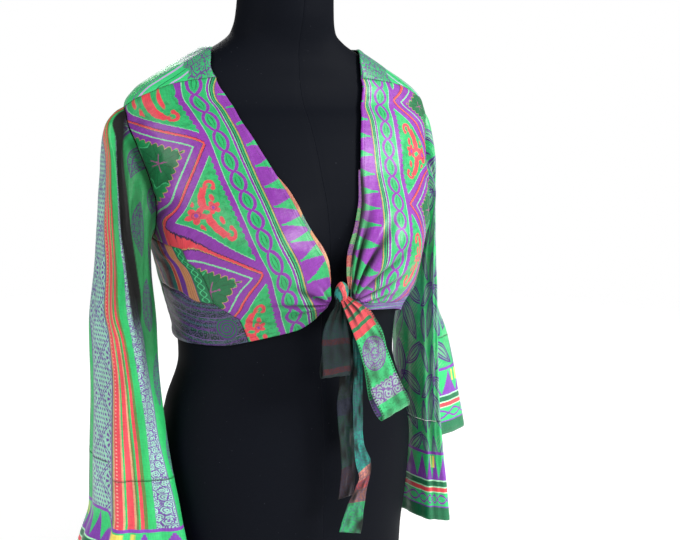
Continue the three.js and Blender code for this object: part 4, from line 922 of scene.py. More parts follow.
class Paint:
    def __init__(self, name):
        self.material = bpy.data.materials.new(name)
        self.material.use_nodes = True
        self.tree = self.material.node_tree
        self.tree.nodes.clear()

    def node(self, kind, settings=None, inputs=None, stops=None):
        """Adds a node, its settings first, then its ramp's stops, then its values and links. A
        colour is six hexadecimal digits or four linear numbers."""
        node = self.tree.nodes.new(kind)
        for key, value in (settings or {}).items():
            setattr(node, key, value)
        if stops:
            ramp = node.color_ramp
            ramp.interpolation = "CONSTANT"
            while len(ramp.elements) > 1:
                ramp.elements.remove(ramp.elements[-1])
            ramp.elements[0].position, ramp.elements[0].color = stops[0][0], linear(stops[0][1])
            for position, colour in stops[1:]:
                ramp.elements.new(position).color = linear(colour)
        for key, value in (inputs or {}).items():
            if isinstance(value, Num):
                value = value.socket
            elif isinstance(value, str):
                value = linear(value)
            if isinstance(value, bpy.types.NodeSocket):
                self.tree.links.new(value, node.inputs[key])
            else:
                node.inputs[key].default_value = value
        return node

    def maths(self, operation, *values):
        """A Math node on numbers."""
        node = self.node("ShaderNodeMath", {"operation": operation}, dict(enumerate(values)))
        return Num(self, node.outputs[0])

    def sin(self, value):
        return self.maths("SINE", value)

    def wrap(self, value, period):
        """A value brought into half a period either side of 0."""
        return self.maths("WRAP", value, period / 2, -period / 2)

    def step(self, value, at, soft=0.25, before=0.0, after=1.0):
        """0 below a value and 1 above it, with a soft edge."""
        node = self.node("ShaderNodeMapRange", {"clamp": True},
                         {0: value, 1: at - soft, 2: at + soft, 3: before, 4: after})
        return Num(self, node.outputs[0])

    def below(self, value, at, soft=0.25):
        """1 below a value and 0 above it, with a soft edge."""
        return self.step(value, at, soft, 1.0, 0.0)

    def mix(self, mask, under, over):
        """The colour over on the colour under, where the mask is 1."""
        node = self.node("ShaderNodeMix", {"data_type": "RGBA"}, {0: mask, 6: under, 7: over})
        return node.outputs[2]

    def stripes(self, value, low, high, rows):
        """Bands of colour across a value: each row starts at its number."""
        share = (value - low) * (1.0 / (high - low))
        stops = [(min(max((at - low) / (high - low), 0.0), 1.0), colour) for at, colour in rows]
        return self.node("ShaderNodeValToRGB", inputs={0: share}, stops=stops).outputs[0]

    def vector(self, x, y, z=0.0):
        """Three numbers as a vector."""
        return self.node("ShaderNodeCombineXYZ", inputs={0: x, 1: y, 2: z}).outputs[0]

    def length(self, x, y):
        """The root of the sum of two squares."""
        return self.maths("SQRT", x * x + y * y)

    def noise(self, vector, scale, detail=2.0):
        """Smooth noise from 0 to 1, with a scale in cells to the metre."""
        node = self.node("ShaderNodeTexNoise", {"noise_dimensions": "3D"},
                         {"Vector": vector, "Scale": scale, "Detail": detail})
        return Num(self, node.outputs[0])

    def cells(self, vector, scale, feature="F1"):
        """The distance to the middle, or to the edge, of irregular cells."""
        node = self.node("ShaderNodeTexVoronoi", {"voronoi_dimensions": "2D", "feature": feature},
                         {"Vector": vector, "Scale": scale})
        return Num(self, node.outputs["Distance"])

    def flat(self, p, q):
        """Two lengths in millimetres as a vector in metres."""
        return self.vector(p * 0.001, q * 0.001)

    def bump(self, height, distance, strength=0.5):
        """A normal tilted by a height."""
        return self.node("ShaderNodeBump", inputs={
            "Strength": strength, "Distance": distance, "Height": height}).outputs[0]

    def split(self, vector, count):
        """The first numbers of a vector."""
        node = self.node("ShaderNodeSeparateXYZ", inputs={0: vector})
        return [Num(self, node.outputs[i]) for i in range(count)]

    def uv(self, name):
        """A UV map's two numbers as they are stored."""
        return self.split(self.node("ShaderNodeUVMap", {"uv_map": name}).outputs[0], 2)

    def map(self, name):
        """A UV map's two numbers, in millimetres."""
        return [number * 1000.0 for number in self.uv(name)]

    def place(self):
        """The object's own coordinates in millimetres, and their vector in metres."""
        vector = self.node("ShaderNodeTexCoord").outputs["Object"]
        return [number * 1000.0 for number in self.split(vector, 3)], vector

    def fuzz(self, p, q, size, reach):
        """Two numbers that waver about 0, as the threads of a dyed cloth draw a line's edge."""
        fine = self.noise(self.flat(p, q), 1000.0 / size, 2.0) - 0.5
        thread = self.noise(self.vector(p * 0.0011, q * 0.00012), 900.0, 1.0) - 0.5
        return fine * reach + thread * (1.3 * reach), fine * (0.7 * reach)

    def silk(self, colour, p, q, dark=1.0):
        """Finishes printed silk: fine threads and slubs in the colour, times dark, the light and shade
        painted on its piece, with shade painted where the folds map is high and along its seams, a
        stitched hem line, a soft bump of small crumples, and a satin gloss."""
        hem, seam = self.map("edges")
        painted_fold_shade = self.uv("folds")[0]
        flat = self.flat(p, q)
        slub = self.noise(self.vector(p * 0.0012, q * 0.009), 90.0, 3.0)
        weft = self.noise(self.vector(p * 0.0075, q * 0.0009), 110.0, 3.0)
        patch = self.noise(flat, 22.0, 3.0)
        # Painted light and shade: dark brightens the lit pieces and darkens the shaded ones as a whole.
        tone = (slub * 0.5 + weft * 0.7 + patch * 0.5 + 0.12) * dark
        dash = self.below(abs(self.wrap(p + q, 3.4)), 1.15, 0.2)
        stitch = self.below(abs(hem - 5.0), 0.35, 0.15) * dash
        # The hem's stitches are darker thread; along each seam, shade is painted into the seam's gap.
        tone = tone * (1.0 - stitch * 0.35) * (1.0 - self.below(seam, 1.1, 0.6) * 0.28)
        # Painted shade: the colour is taken nearly to black where the folds map is high.
        tone = tone * (1.0 - painted_fold_shade * 0.965)
        grey = self.node("ShaderNodeCombineColor", inputs={0: tone, 1: tone, 2: tone}).outputs[0]
        shade = self.node("ShaderNodeMix", {"data_type": "RGBA", "blend_type": "MULTIPLY"},
                          {0: 1.0, 6: colour, 7: grey}).outputs[2]
        crumple = self.noise(flat, 55.0, 3.0)
        broad = self.noise(self.vector(p * 0.0005, q * 0.0011), 42.0, 2.0)
        weave = self.noise(flat, 900.0, 1.0)
        height = broad * 1.9 + crumple * 1.1 + slub * 0.14 + weave * 0.06 - stitch * 0.25
        rough = 0.33 + slub * 0.14 + patch * 0.10 + painted_fold_shade * 0.35
        bump = self.bump(height, 0.0018, 0.6)
        return self.finish(shade, rough, bump, sheen=0.1 * dark, specular=0.25 + 0.22 * dark)

    def finish(self, colour, roughness, normal, sheen=0.0, specular=0.5):
        """The surface and the output."""
        surface = self.node("ShaderNodeBsdfPrincipled", inputs={
            "Base Color": colour, "Roughness": roughness, "Sheen Weight": sheen,
            "Sheen Roughness": 0.4, "Specular IOR Level": specular, "Normal": normal})
        self.node("ShaderNodeOutputMaterial", inputs={0: surface.outputs[0]})
        return self.material


def filigree(paint, p, q, size):
    """Fine ornament: rings inside irregular cells, and the lines between the cells."""
    spot = paint.vector(p * (1 / size), q * (1 / size))
    near = paint.cells(spot, 1.0)
    rim = paint.cells(spot, 1.0, "DISTANCE_TO_EDGE")
    rings = paint.step(paint.sin(near * 24.0), 0.1, 0.25)
    dots = paint.below(paint.cells(spot, 3.3), 0.3, 0.06)
    return (rings & (1.0 - dots)) | paint.below(rim, 0.06, 0.02)


def lace(paint, p, q):
    """Rows of dots between slanting double lines, with round flowers of rings and rays in the
    lozenges, on a repeat of 55 by 50."""
    slant, other = paint.wrap(p * 0.9 + q, 50.0), paint.wrap(p * 0.9 - q, 50.0)
    line = paint.below(abs(abs(slant) - 2.2), 0.75, 0.3) | paint.below(abs(abs(other) - 2.2), 0.75, 0.3)
    dot = paint.length(paint.wrap(p + q * 0.5, 6.6), paint.wrap(q, 5.6))
    dots = paint.below(dot, 1.75, 0.4)
    a, b = paint.wrap(p, 55.5), paint.wrap(q + 25.0, 50.0)
    reach = paint.length(a, b)
    rays = paint.step(paint.sin(paint.maths("ARCTAN2", a, b) * 10.0), -0.1, 0.3)
    flower = paint.below(abs(reach - 4.2), 0.9, 0.3) | rays * paint.below(abs(reach - 10.0), 3.0, 0.4)
    inside = paint.below(reach, 15.0, 0.4)
    return line | flower * inside | dots * (1.0 - inside)


def leaf(paint, p, q, x, y, turn, length, width, line=0.55):
    """A leaf drawn in line: a pointed oval, width times 1 less the square of the share of its
    length, with a second line inside and a rib. Returns the lines and the inside."""
    cosine, sine = math.cos(math.radians(turn)), math.sin(math.radians(turn))
    a, b = p - x, q - y
    along = a * cosine + b * sine
    off = b * cosine - a * sine
    body = abs(off) - (1.0 - along * along * (1 / length**2)) * width
    outline = paint.below(abs(body), line, 0.3)
    second = paint.below(abs(body + 0.36 * width), 0.7 * line, 0.3)
    rib = paint.below(abs(off), 0.6 * line, 0.3) * paint.below(body, 0.0, 0.3)
    return outline | second | rib, paint.below(body, 0.0, 0.3)


def paisley(paint, p, q, x, y, turn, length, width):
    """A paisley: a leaf filled with fine ornament inside two outlines."""
    lines, inside = leaf(paint, p, q, x, y, turn, length, width, 0.7)
    return lines | filigree(paint, p, q, 8.0) * inside


def scroll_flower(paint, a, b):
    """Two five-petalled flowers side by side with a curling arm above and below: the petals'
    reach follows the cosine of the angle, an arm is a sine that ends in an open ring, and
    small leaves stand beside it."""
    up = abs(a)
    mask = eyes = rims = None
    for x, y, size, turn in ((0.0, -15.0, 1.0, 0.9), (3.0, 8.0, 0.74, 0.2)):
        u, v = (a - x) * (1 / size), (b - y) * (1 / size)
        angle, reach = paint.maths("ARCTAN2", v, u), paint.length(u, v)
        petals = paint.below(reach - abs(paint.maths("COSINE", angle * 2.5 + turn)) * 6.5, 7.0, 0.5)
        eye = paint.below(paint.length(u * 0.7, v), 2.6, 0.5)
        rim = paint.below(abs(reach - 5.2), 0.6, 0.4)
        mask = petals if mask is None else mask | petals
        eyes = eye if eyes is None else eyes | eye
        rims = rim if rims is None else rims | rim
    sway = b + 2.5 - (up - 11.0) * (up - 11.0) * 0.02
    thick = 3.7 + up * 0.035 + abs(paint.sin(up * 0.3)) * 0.9
    arm = paint.below(abs(sway) - thick, 0.0, 0.5) * paint.step(up, 4.0, 1.0) * paint.below(up, 35.0, 1.0)
    curl = paint.length(up - 34.0, b - 15.0)
    ring = paint.below(abs(curl - 5.6) - 2.1, 0.0, 0.4) * paint.step(up + b * 0.35, 35.5, 1.0)
    knob = paint.below(paint.length(up - 29.0, b - 18.5), 2.9, 0.5)
    leaf_mask = paint.below(paint.length((up - 17.0) * 0.55, b - 11.5), 2.9, 0.5)
    side = paint.below(paint.length((up - 19.0) * 0.6, b + 14.0), 2.6, 0.5)
    return mask | arm | ring | knob | leaf_mask | side, eyes, rims


def border_print(paint, p, q, tip):
    """The fronts' print, by length along its chain and distance from it: stepped spikes, lines,
    a chain of links, a scalloped stripe, and a field of zigzags, leaves and flowers."""
    green, pale, deep = "24AC62", "7FD39A", "0A5B3A"
    purple, coral = "85309E", "DB3F4C"
    beige, dark = "B9925E", "351848"
    along, off = paint.fuzz(p, q, 2.6, 1.7)
    p, q = p + along, q + off
    lines = paint.stripes(q, -26.0, 60.0, [
        (-26, purple), (-14.6, pale), (-13.9, green), (13.4, pale), (14.0, purple), (16.9, pale),
        (17.7, dark), (19.3, green), (20.4, deep), (21.6, green), (22.6, beige), (23.8, deep),
        (24.6, purple), (29.0, green),
    ])
    # The chain: a strand either side of the middle, whose distance is a power of a cosine.
    wave = abs(paint.maths("COSINE", p * (math.pi / LINK)))
    oval = paint.maths("POWER", wave, 0.62) * 8.3
    strand = abs(abs(q) - oval) - (1.0 - wave) * 0.8
    band = paint.below(abs(q), 11.6)
    colour = paint.mix(paint.below(strand, 2.7, 0.4) * band, lines, "35B878")
    colour = paint.mix(paint.below(strand, 2.15, 0.4) * band, colour, purple)
    inner = paint.below(abs(abs(q) - (oval - 5.4)), 0.45, 0.3) * paint.step(wave, 0.72)
    colour = paint.mix(inner, colour, deep)
    # The spikes: one between each two links, narrower with each step towards the neck.
    phase = abs(paint.wrap(p, LINK)) * (2 / LINK)
    stepped = paint.maths("FLOOR", q * (1 / 3.4)) * 3.4
    rise = paint.maths("POWER", paint.maths("MAXIMUM", (stepped - 27.0) * (1 / tip), 0.0), 1.15)
    spike = paint.below(phase + rise, 0.95, 0.03) * paint.step(q, 26.0)
    colour = paint.mix(spike, colour, purple)
    slot = paint.step(phase, 0.9, 0.02) * paint.step(q, 27.0) * paint.below(q, 38.0)
    colour = paint.mix(slot, colour, green)
    # The zigzag: lines at 45 degrees to the chain, jagged on their far side.
    fold = paint.maths("PINGPONG", p, REPEAT / 2)
    zig = ((0.0 - q) - 23.0 - fold) * DIAGONAL
    jag = abs(paint.sin((fold - q) * (math.pi / 11.0))) * 4.2 * paint.step(zig, 13.0, 0.1)
    field = paint.stripes(zig + jag, -30.0, 40.0, [
        (-30, green), (-11.2, pale), (-10.4, purple), (-2.4, dark), (-1.8, coral), (0.7, beige),
        (1.2, dark), (1.9, purple), (9.4, pale), (11.4, purple), (21.2, beige), (22.4, "118A4B"),
    ])
    # A scalloped leaf rosette inside each far corner of the zigzag.
    a, b = paint.wrap(p, REPEAT), q + 79.0
    ray = paint.maths("ARCTAN2", a, b)
    reach = paint.length(a, b)
    inside = paint.step(zig + jag, 22.6)
    edge = reach + abs(paint.sin(ray * 4.5)) * 7.0
    field = paint.mix(paint.below(edge, 29.0, 0.5) * inside, field, "0A6A3B")
    field = paint.mix(paint.below(abs(edge - 29.5), 0.7, 0.4) * inside, field, "43B878")
    gap = paint.below(abs(paint.sin(ray * 4.5)) * reach, 1.2, 0.5) * paint.step(reach, 7.0, 1.0)
    field = paint.mix(gap * paint.below(edge, 29.0, 0.5) * inside * 0.7, field, "053A22")
    vein = paint.below(abs(paint.sin(ray * 2.25 + 0.7)) * reach, 1.3, 0.5) * paint.below(reach, 10.0, 1.0)
    field = paint.mix(vein * inside, field, "9A4A86")
    # A scroll flower in each near corner, on mottled ground.
    flower, eye, ring = scroll_flower(paint, paint.wrap(p + REPEAT / 2, REPEAT), q + 52.0)
    floral = paint.below(zig, -13.4)
    mottle = paint.step(paint.noise(paint.flat(p, q), 150.0, 2.0), 0.56, 0.03)
    field = paint.mix(mottle * floral * 0.5, field, "178048")
    field = paint.mix(flower * floral, field, coral)
    field = paint.mix(ring * floral, field, "A83058")
    field = paint.mix(eye, field, purple)
    # The border lies over the field, with a scalloped edge.
    scallop = abs(paint.sin(p * (math.pi / 7.5))) * 2.4
    beyond = paint.below(q, -20.8, 0.2) * paint.step((0.0 - q) + scallop, 23.6, 0.2)
    return paint.mix(beyond, colour, field)


def front_silk(side):
    """The printed silk of a front panel."""
    paint = Paint(f"front_{side}_print")
    p, q = paint.map("print")
    return paint.silk(border_print(paint, p, q, SPIKE_TIP[side]), p, q, PAINTED_LIGHT_AND_SHADE["front_" + side])


def back_silk():
    """The back's silk: the border print twice, mirrored on the back's middle, and on the
    shoulders bright green with pale lines and a patch of fine ornament by the neck."""
    paint = Paint("back_print")
    u, v = paint.map("print")
    (x, y, z), vector = paint.place()
    main = border_print(paint, v + 40.0, 50.0 - abs(u), SPIKE_TIP["back"])
    bend = y + paint.noise(vector, 12.0) * 9.0
    lines = paint.stripes(paint.wrap(bend, 33.0), -16.5, 16.5, [
        (-16.5, "2CC46E"), (-9, "B9A6D6"), (-7.5, "2CC46E"),
        (-4, "0E8050"), (-3, "35D07A"), (3, "C2B0DC"), (5.5, "2CC46E"),
        (9, "7B36A4"), (10.2, "2CC46E"),
    ])
    ornament = filigree(paint, x, y, 9.0)
    patch = paint.mix(ornament, "2BAE64", "5E4480")
    near_neck = paint.below(abs(x) + paint.sin(y * 0.4) * 2.0, 139.0, 1.0)
    yoke = paint.mix(near_neck, lines, patch)
    shoulder = paint.step(z + abs(x) * 0.30, 676.0, 0.4) | paint.below(y, 14.0, 0.3) * paint.step(z, 600.0)
    return paint.silk(paint.mix(shoulder, main, yoke), u, v)


def side_silk(side):
    """Stripes that run down beside the princess seam."""
    paint = Paint(f"side_{side}_print")
    u, v = paint.map("print")
    beige, teal, brown = "C98A5E", "0F5A58", "6E2A30"
    chain = paint.mix(paint.below(abs(abs(u - 9.0) - abs(paint.sin(v * 0.35)) * 4.5), 0.9), "167A4C",
                      "4FD08A")
    rows = paint.stripes(u, 0.0, 130.0, [
        (0, "167A4C"), (17, "5A2A7A"), (18.2, beige), (20.5, brown), (21.3, beige),
        (24, brown), (24.8, beige), (28, brown), (28.8, beige), (34, "6B2E93"),
        (46, beige), (48, "B0403E"), (54, beige), (55, teal), (64, "2A1838"),
        (70, brown), (80, teal), (90, "6B2E93"), (98, beige), (104, teal),
    ])
    return paint.silk(paint.mix(paint.below(u, 17.0), rows, chain), u, v, PAINTED_LIGHT_AND_SHADE["side"])


def band_silk(side):
    """The band under the bust: level lines of dark green, teal and purple with pale specks."""
    paint = Paint(f"band_{side}_print")
    u, v = paint.map("print")
    green, dark, purple = "146B48", "0C3B34", "5B2C80"
    if side == "left":
        green, dark, purple = "2EB874", "7B4AB0", "B064D8"
    bend = v + paint.sin(u * 0.035) * 6.0
    rows = paint.stripes(paint.wrap(bend, 30.0), -15.0, 15.0, [
        (-15, dark), (-9, green), (-6, purple), (-2.5, dark), (0, "1B6E6A"), (3, dark),
        (6, purple), (8, green), (12, "9A6CC0"), (13, dark),
    ])
    ornament = filigree(paint, u, v, 11.0)
    colour = paint.mix(ornament * 0.55, rows, "8F6AB4")
    swirl = paint.length(u - 22.0, v - 22.0)
    disc = paint.below(swirl, 15.0)
    rings = paint.step(paint.sin(swirl * 1.5 + paint.maths("ARCTAN2", u - 22.0, v - 22.0)), 0.1, 0.2)
    patch = paint.mix(rings, "6B2E93", "178A55")
    return paint.silk(paint.mix(disc, colour, patch), u, v, PAINTED_LIGHT_AND_SHADE["band_" + side])


def sleeve_stripes(paint, q, z):
    """The right sleeve's lengthwise stripes, by distance round the sleeve."""
    green, deep, coral = "1FB05E", "0B5E3C", "D9404C"
    beige, olive, purple = "C99872", "5C7A38", "64368F"
    mist = "8CC4AC"
    q = q + paint.fuzz(z, q, 2.6, 1.2)[1]
    rows = paint.stripes(q, -215.0, 215.0, [
        (-215, green), (-190, deep), (-172, coral), (-160, olive), (-157, coral), (-148, green),
        (-128, purple), (-126, deep), (-93, green), (-78, purple), (-75.5, mist), (-2.2, purple),
        (0, olive), (1.2, beige), (2.4, coral), (9.0, beige),
        (10.2, green), (12.0, coral), (17.5, beige), (18.5, olive), (20.5, green), (22.0, coral),
        (26.5, olive), (29, green), (40.5, purple), (41.5, mist), (58, purple), (59.5, green),
        (150, deep), (156, coral), (196, deep), (200, green),
    ])
    laced = paint.step(q, -75.5) * paint.below(q, -2.2)
    colour = paint.mix(lace(paint, q, z + 200.0) * laced, rows, purple)
    strip = paint.step(q, 41.5) * paint.below(q, 58.0)
    colour = paint.mix(filigree(paint, q, z, 8.0) * strip, colour, purple)
    dots = paint.below(paint.length(paint.wrap(z, 4.4), q - 5.6), 0.95, 0.3)
    colour = paint.mix(dots, colour, "E8A090")
    drawn = paisley(paint, paint.wrap(z - 20.0, 92.0), q, 0.0, 88.0, 12.0, 33.0, 15.0)
    drawn = drawn | paisley(paint, paint.wrap(z + 26.0, 92.0), q, 0.0, 124.0, 168.0, 30.0, 13.0)
    colour = paint.mix(drawn * paint.step(q, 62.0), colour, "5A3480")
    flowers = paint.step(paint.noise(paint.flat(q, z), 130.0, 3.0), 0.52, 0.02)
    return paint.mix(flowers * paint.step(q, 156.0) * paint.below(q, 196.0), colour, green)


def leaf_print(paint, p, q):
    """Green with sprays of long leaves drawn in purple, in repeats of 99 by 124."""
    a, b = paint.wrap(p, 99.0), paint.wrap(q, 124.0)
    cloud = paint.noise(paint.flat(p, q), 45.0)
    ground = paint.mix(cloud, "1E9A55", "34C878")
    lines = None
    for x, y, turn, length, width in (
        (-22, -34, 58, 27, 8.2), (8, -28, 112, 26, 8.0), (-30, 2, 28, 24, 7.2), (22, 2, 146, 25, 7.6),
        (-4, 30, 84, 25, 7.4), (32, 40, 48, 22, 6.6), (-34, 44, 136, 22, 6.6), (38, -40, 80, 20, 6.4),
    ):
        drawn, inside = leaf(paint, a, b, float(x), float(y), turn, length * 1.15, width * 1.25, 1.25)
        lines = drawn if lines is None else lines | drawn
        ground = paint.mix(inside * 0.45, ground, "86AC98")
    stem = paint.below(abs(a - paint.sin(b * 0.05) * 9.0), 0.8, 0.3)
    veins = paint.step(paint.sin((a + b) * 1.1), 0.35, 0.3) * paint.step(cloud, 0.5, 0.05)
    ground = paint.mix(veins * 0.45, ground, "8FA08C")
    return paint.mix(lines | stem, ground, "4C2078")


def sleeve_silk(name, side, is_end):
    """A sleeve's silk. Its end has, below the seam, the sleeve's print, then a purple line,
    stepped spikes, lines, a chain and the hem."""
    paint = Paint(name)
    u, v = paint.map("print")
    height = paint.place()[0][2]
    girth = GIRTH[side]
    if side == "right":
        colour = sleeve_stripes(paint, paint.wrap(u, girth), height)
    else:
        colour = leaf_print(paint, u, height)
    if is_end:
        green, purple, pale = "2BBE6C", "7B36A4", "A9E8B8"
        deep, coral, yellow = "0B6B42", "E2434E", "E3CF5A"
        down = v - END_START[side]
        lines = paint.stripes(down, 0.0, 96.0, [
            (0, purple), (4, green), (36, purple), (38.5, pale), (40.5, deep), (47, pale),
            (49, coral), (54.5, pale), (56, green), (74, purple), (76, deep),
        ])
        phase = abs(paint.wrap(u, girth / 16)) * (32 / girth)
        stepped = paint.maths("FLOOR", down * (1 / 3.0)) * 3.0
        spike = paint.step((stepped - 4.0) * (1 / 33.0) - phase, -0.05, 0.02)
        spike = spike * paint.step(down, 6.0) * paint.below(down, 37.0)
        lines = paint.mix(spike, lines, purple)
        bright = paint.step(paint.sin(u * (8 * math.pi / girth) + 1.0), 0.86, 0.03)
        bright = bright * paint.below(phase, 0.8, 0.05)
        glow = bright * paint.step(down, 6.0) * paint.below(down, 22.0)
        lines = paint.mix(glow, lines, yellow)
        strand = abs(abs(down - 65.0) - abs(paint.maths("COSINE", u * (19 * math.pi / girth))) * 5.4)
        lines = paint.mix(paint.below(strand, 1.4) * paint.below(abs(down - 65.0), 8.0), lines, purple)
        colour = paint.mix(paint.step(down, 0.0, 0.2), colour, lines)
    return paint.silk(colour, u, v, PAINTED_LIGHT_AND_SHADE["sleeve_" + side])


def tie_silk(name, rows, dark):
    """A strip's silk: bands of colour along its length, with fine ornament on the green, at the tone dark
    that paints its light and shade.
    """
    paint = Paint(name)
    u, v = paint.map("print")
    bend = v + paint.sin(u * 0.12) * 1.5
    colour = paint.stripes(bend, 0.0, 320.0, rows)
    ornament = filigree(paint, u, v, 14.0)
    fine = filigree(paint, u, v, 9.0)
    reach = paint.length(u, (v - 84.0) * 0.78)
    middle = paint.below(reach, 16.0)
    ring = paint.below(abs(reach - 16.5), 0.7, 0.3) | paint.below(abs(reach - 12.5), 0.5, 0.3)
    ring = ring | paint.below(abs(reach - 5.0), 0.6, 0.3)
    border = paint.map("edges")[0]
    if name.startswith("tie_loop_left"):
        speckle = paint.step(paint.noise(paint.flat(u, v), 320.0, 2.0), 0.58, 0.03)
        colour = paint.mix(speckle * paint.step(v, 54.0) * 0.5, colour, "177A44")
        colour = paint.mix(middle * 0.6, colour, "8FA79A")
        scallop = abs(paint.maths("SINE", u * 0.45)) * 3.0
        laced = paint.step(v + scallop, 124.0) * paint.below(v, 148.0)
        colour = paint.mix(laced * 0.75, colour, "A9B4B8")
        colour = paint.mix(ring | fine * middle | ornament * laced, colour, "7A4A98")
        dots = paint.below(abs(border - 4.6), 1.2, 0.3) * paint.step(paint.sin(v * 1.7), 0.1, 0.3)
        colour = paint.mix(dots * paint.step(v, 62.0), colour, "124A34")
    else:
        colour = paint.mix(ornament * paint.step(v, 30.0) * 0.5, colour, "3E4468")
    return paint.silk(colour, u, v, dark)


def facing_silk(name, rows):
    """A facing's silk, in lengths of different prints."""
    paint = Paint(name)
    u, v = paint.map("print")
    colour = paint.stripes(v + paint.noise(paint.flat(u, v), 300.0) * 5.0, 0.0, 140.0,
                           rows)
    ornament = filigree(paint, u, v, 5.0)
    return paint.silk(paint.mix(ornament * 0.5, colour, "D9B088"), u, v)


def jersey(look):
    """The form's black jersey: a fine knit, faint dust and lint, and a seam down its middle."""
    paint = Paint("black_jersey")
    (x, _, _), vector = paint.place()
    knit = paint.noise(paint.node("ShaderNodeVectorMath", {"operation": "MULTIPLY"},
                                  {0: vector, 1: (1.0, 1.0, 0.35)}).outputs[0], 1300.0, 1.0)
    dust = paint.noise(vector, 9.0, 4.0)
    colour = paint.mix(dust * 0.6, tuple(look.jersey_colour) + (1.0,), "0A0E15")
    lint = paint.step(paint.noise(vector, 420.0, 1.0), 0.80, 0.02)
    colour = paint.mix(lint * 0.3, colour, "5A5C64")
    seam = paint.below(abs(x), 0.7, 0.4)
    height = knit * 0.25 + dust * 0.6 - seam * 1.5
    return paint.finish(colour, 0.62 + dust * 0.15, paint.bump(height, 0.0006), specular=0.09)


class WrapTopLook(bpy.types.PropertyGroup):
    """Sizes and colours of the top that a user would change."""

    cloth_thickness: bpy.props.FloatProperty(
        name="Cloth thickness", description="Thickness of the shown cloth", default=0.0007,
        min=0.0003, max=0.002, subtype="DISTANCE", unit="LENGTH")
    crease_depth: bpy.props.FloatProperty(
        name="Crease depth", description="How deep the fine creases are pressed", default=1.0,
        min=0.0, max=2.0, subtype="FACTOR")
    jersey_colour: bpy.props.FloatVectorProperty(
        name="Jersey", description="Colour of the dress form's cover", default=(0.0010, 0.0018, 0.0050),
        min=0.0, max=1.0, subtype="COLOR", size=3)
    key_power: bpy.props.FloatProperty(
        name="Main light", description="Power of the soft light from the right", default=66.0,
        min=0.0, max=500.0, subtype="POWER", unit="POWER")


class WRAPTOP_OT_form(bpy.types.Operator):
    """Build the black dress form that carries the top"""

    bl_idname = "wraptop.form"
    bl_label = "Dress form"

    def execute(self, context):
        look = context.scene.wrap_top
        angle = np.linspace(0, 2 * np.pi, FORM_SIDES, endpoint=False)[None]
        shoulder = TOP_OF_FORM - FORM_ROUNDING
        z = np.concatenate([np.linspace(0, 12, 7), np.linspace(12, shoulder, FORM_RINGS)[1:],
                            np.linspace(shoulder, TOP_OF_FORM, 8)[1:]])[:, None]
        rings = form_point(angle + 0 * z, z + 0 * angle)
        groove = 0.5 * (bell(rings[..., 0] / 1.6)) * ease((z - 20) / 10)
        rings = rings - form_normal(angle + 0 * z, z + 0 * angle) * groove[..., None]
        middle = rings[-1].mean(0)
        shares = np.array([0.97, 0.9, 0.7, 0.4, 0.15])[:, None, None]
        cap = middle + (rings[-1] - middle) * shares
        foot = rings[0].mean(0)
        base = (foot + (rings[0] - foot) * shares)[::-1]
        vertices, faces = close_ends(np.concatenate([base, rings, cap]), [foot, middle])
        piece = put("dress_form_cover", vertices, faces, {}, [], np.zeros(len(faces), bool),
                    jersey(look), "dress_form")
        return {"FINISHED"}


class WRAPTOP_OT_bodice(bpy.types.Operator):
    """Sew the fronts, side panels, bands and back"""

    bl_idname = "wraptop.bodice"
    bl_label = "Bodice"

    def execute(self, context):
        look = context.scene.wrap_top
        for side in ("right", "left"):
            panel(f"front_{side}", front_places(side), side, ["bottom", "end"], ["top", "start"],
                  front_silk(side), look)
            panel(f"side_{side}", side_places(side), side, [], ["bottom", "top", "start", "end"],
                  side_silk(side), look)
            panel(f"band_{side}", band_places(side), side, ["bottom"], ["top", "start", "end"],
                  band_silk(side), look)
        self.back(look)
        return {"FINISHED"}

    def back(self, look):
        """The back, whose print is laid out from its middle."""
        places = back_places()
        angle, z = np.radians(places[..., 0]), places[..., 1]
        base, outer, inner, hem, seam = sewn(angle, z, ["bottom", "top"], ["start", "end"], look)
        runs = edge_runs(base)
        half = base.shape[1] // 2
        u = runs["start"] - runs["start"][:, half:half + 1]
        v = runs["bottom"][:, half:half + 1] + 0 * u
        # Painted shade: the colour is darkened where the creases are pressed in.
        creases = fold_lift(CREASES, turned(angle), z)
        shade = np.clip(-look.crease_depth * creases / FULL_SHADE_CREASE["back"], 0, 1)
        cloth("back", outer, inner, maps_for(u, v, hem, seam, shade), back_silk())


class WRAPTOP_OT_facings(bpy.types.Operator):
    """Lay the facings that show inside the neck edges"""

    bl_idname = "wraptop.facings"
    bl_label = "Facings"

    def execute(self, context):
        look = context.scene.wrap_top
        tints = {
            "right": [(0, "B0564A"), (26, "C98A5E"), (44, "B0564A"), (58, "C98A5E"), (74, "1C8C84"),
                      (96, "C98A5E"), (106, "B0564A")],
            "left": [(0, "C8404A"), (18, "3FB070"), (30, "D8505A"), (44, "7B36A4"), (58, "2FC074"),
                     (72, "7B36A4"), (88, "2FC074"), (104, "9A50C8")],
        }
        for side in ("right", "left"):
            rows = np.array(FACINGS[side], float)
            places = front_places(side)
            last = places[:, -1]
            keep = np.where((last[:, 1] >= rows[0, 0]) & (last[:, 1] <= rows[-1, 0]))[0]
            sign = SIGN[side]
            point = lambda column: cloth_point(sign * np.radians(places[keep, column, 0]),
                                               places[keep, column, 1], 0.0, look.crease_depth)
            near, edge = point(-1 - FINE), point(-1)
            normal = form_normal(sign * np.radians(last[keep, 0]), last[keep, 1])
            out = unit(edge - near)
            width = curve(last[keep, 1], rows[:, 0], rows[:, 1])
            t = np.linspace(0, 1, 12)[None]
            reach = -FACING_UNDER + (width[:, None] + FACING_UNDER) * t
            drop = FACING_DROP + FACING_FALL * np.maximum(0, t - FACING_FLAT) + 0 * reach
            base = edge[:, None] + out[:, None] * reach[..., None] - normal[:, None] * drop[..., None]
            runs = edge_runs(base)
            hem = runs["end"]
            cloth(f"facing_{side}", base, base - normal[:, None] * FACING_WALL,
                  maps_for(runs["start"], runs["bottom"], hem, hem * 0 + FAR),
                  facing_silk(f"facing_{side}_print", tints[side]))
        return {"FINISHED"}


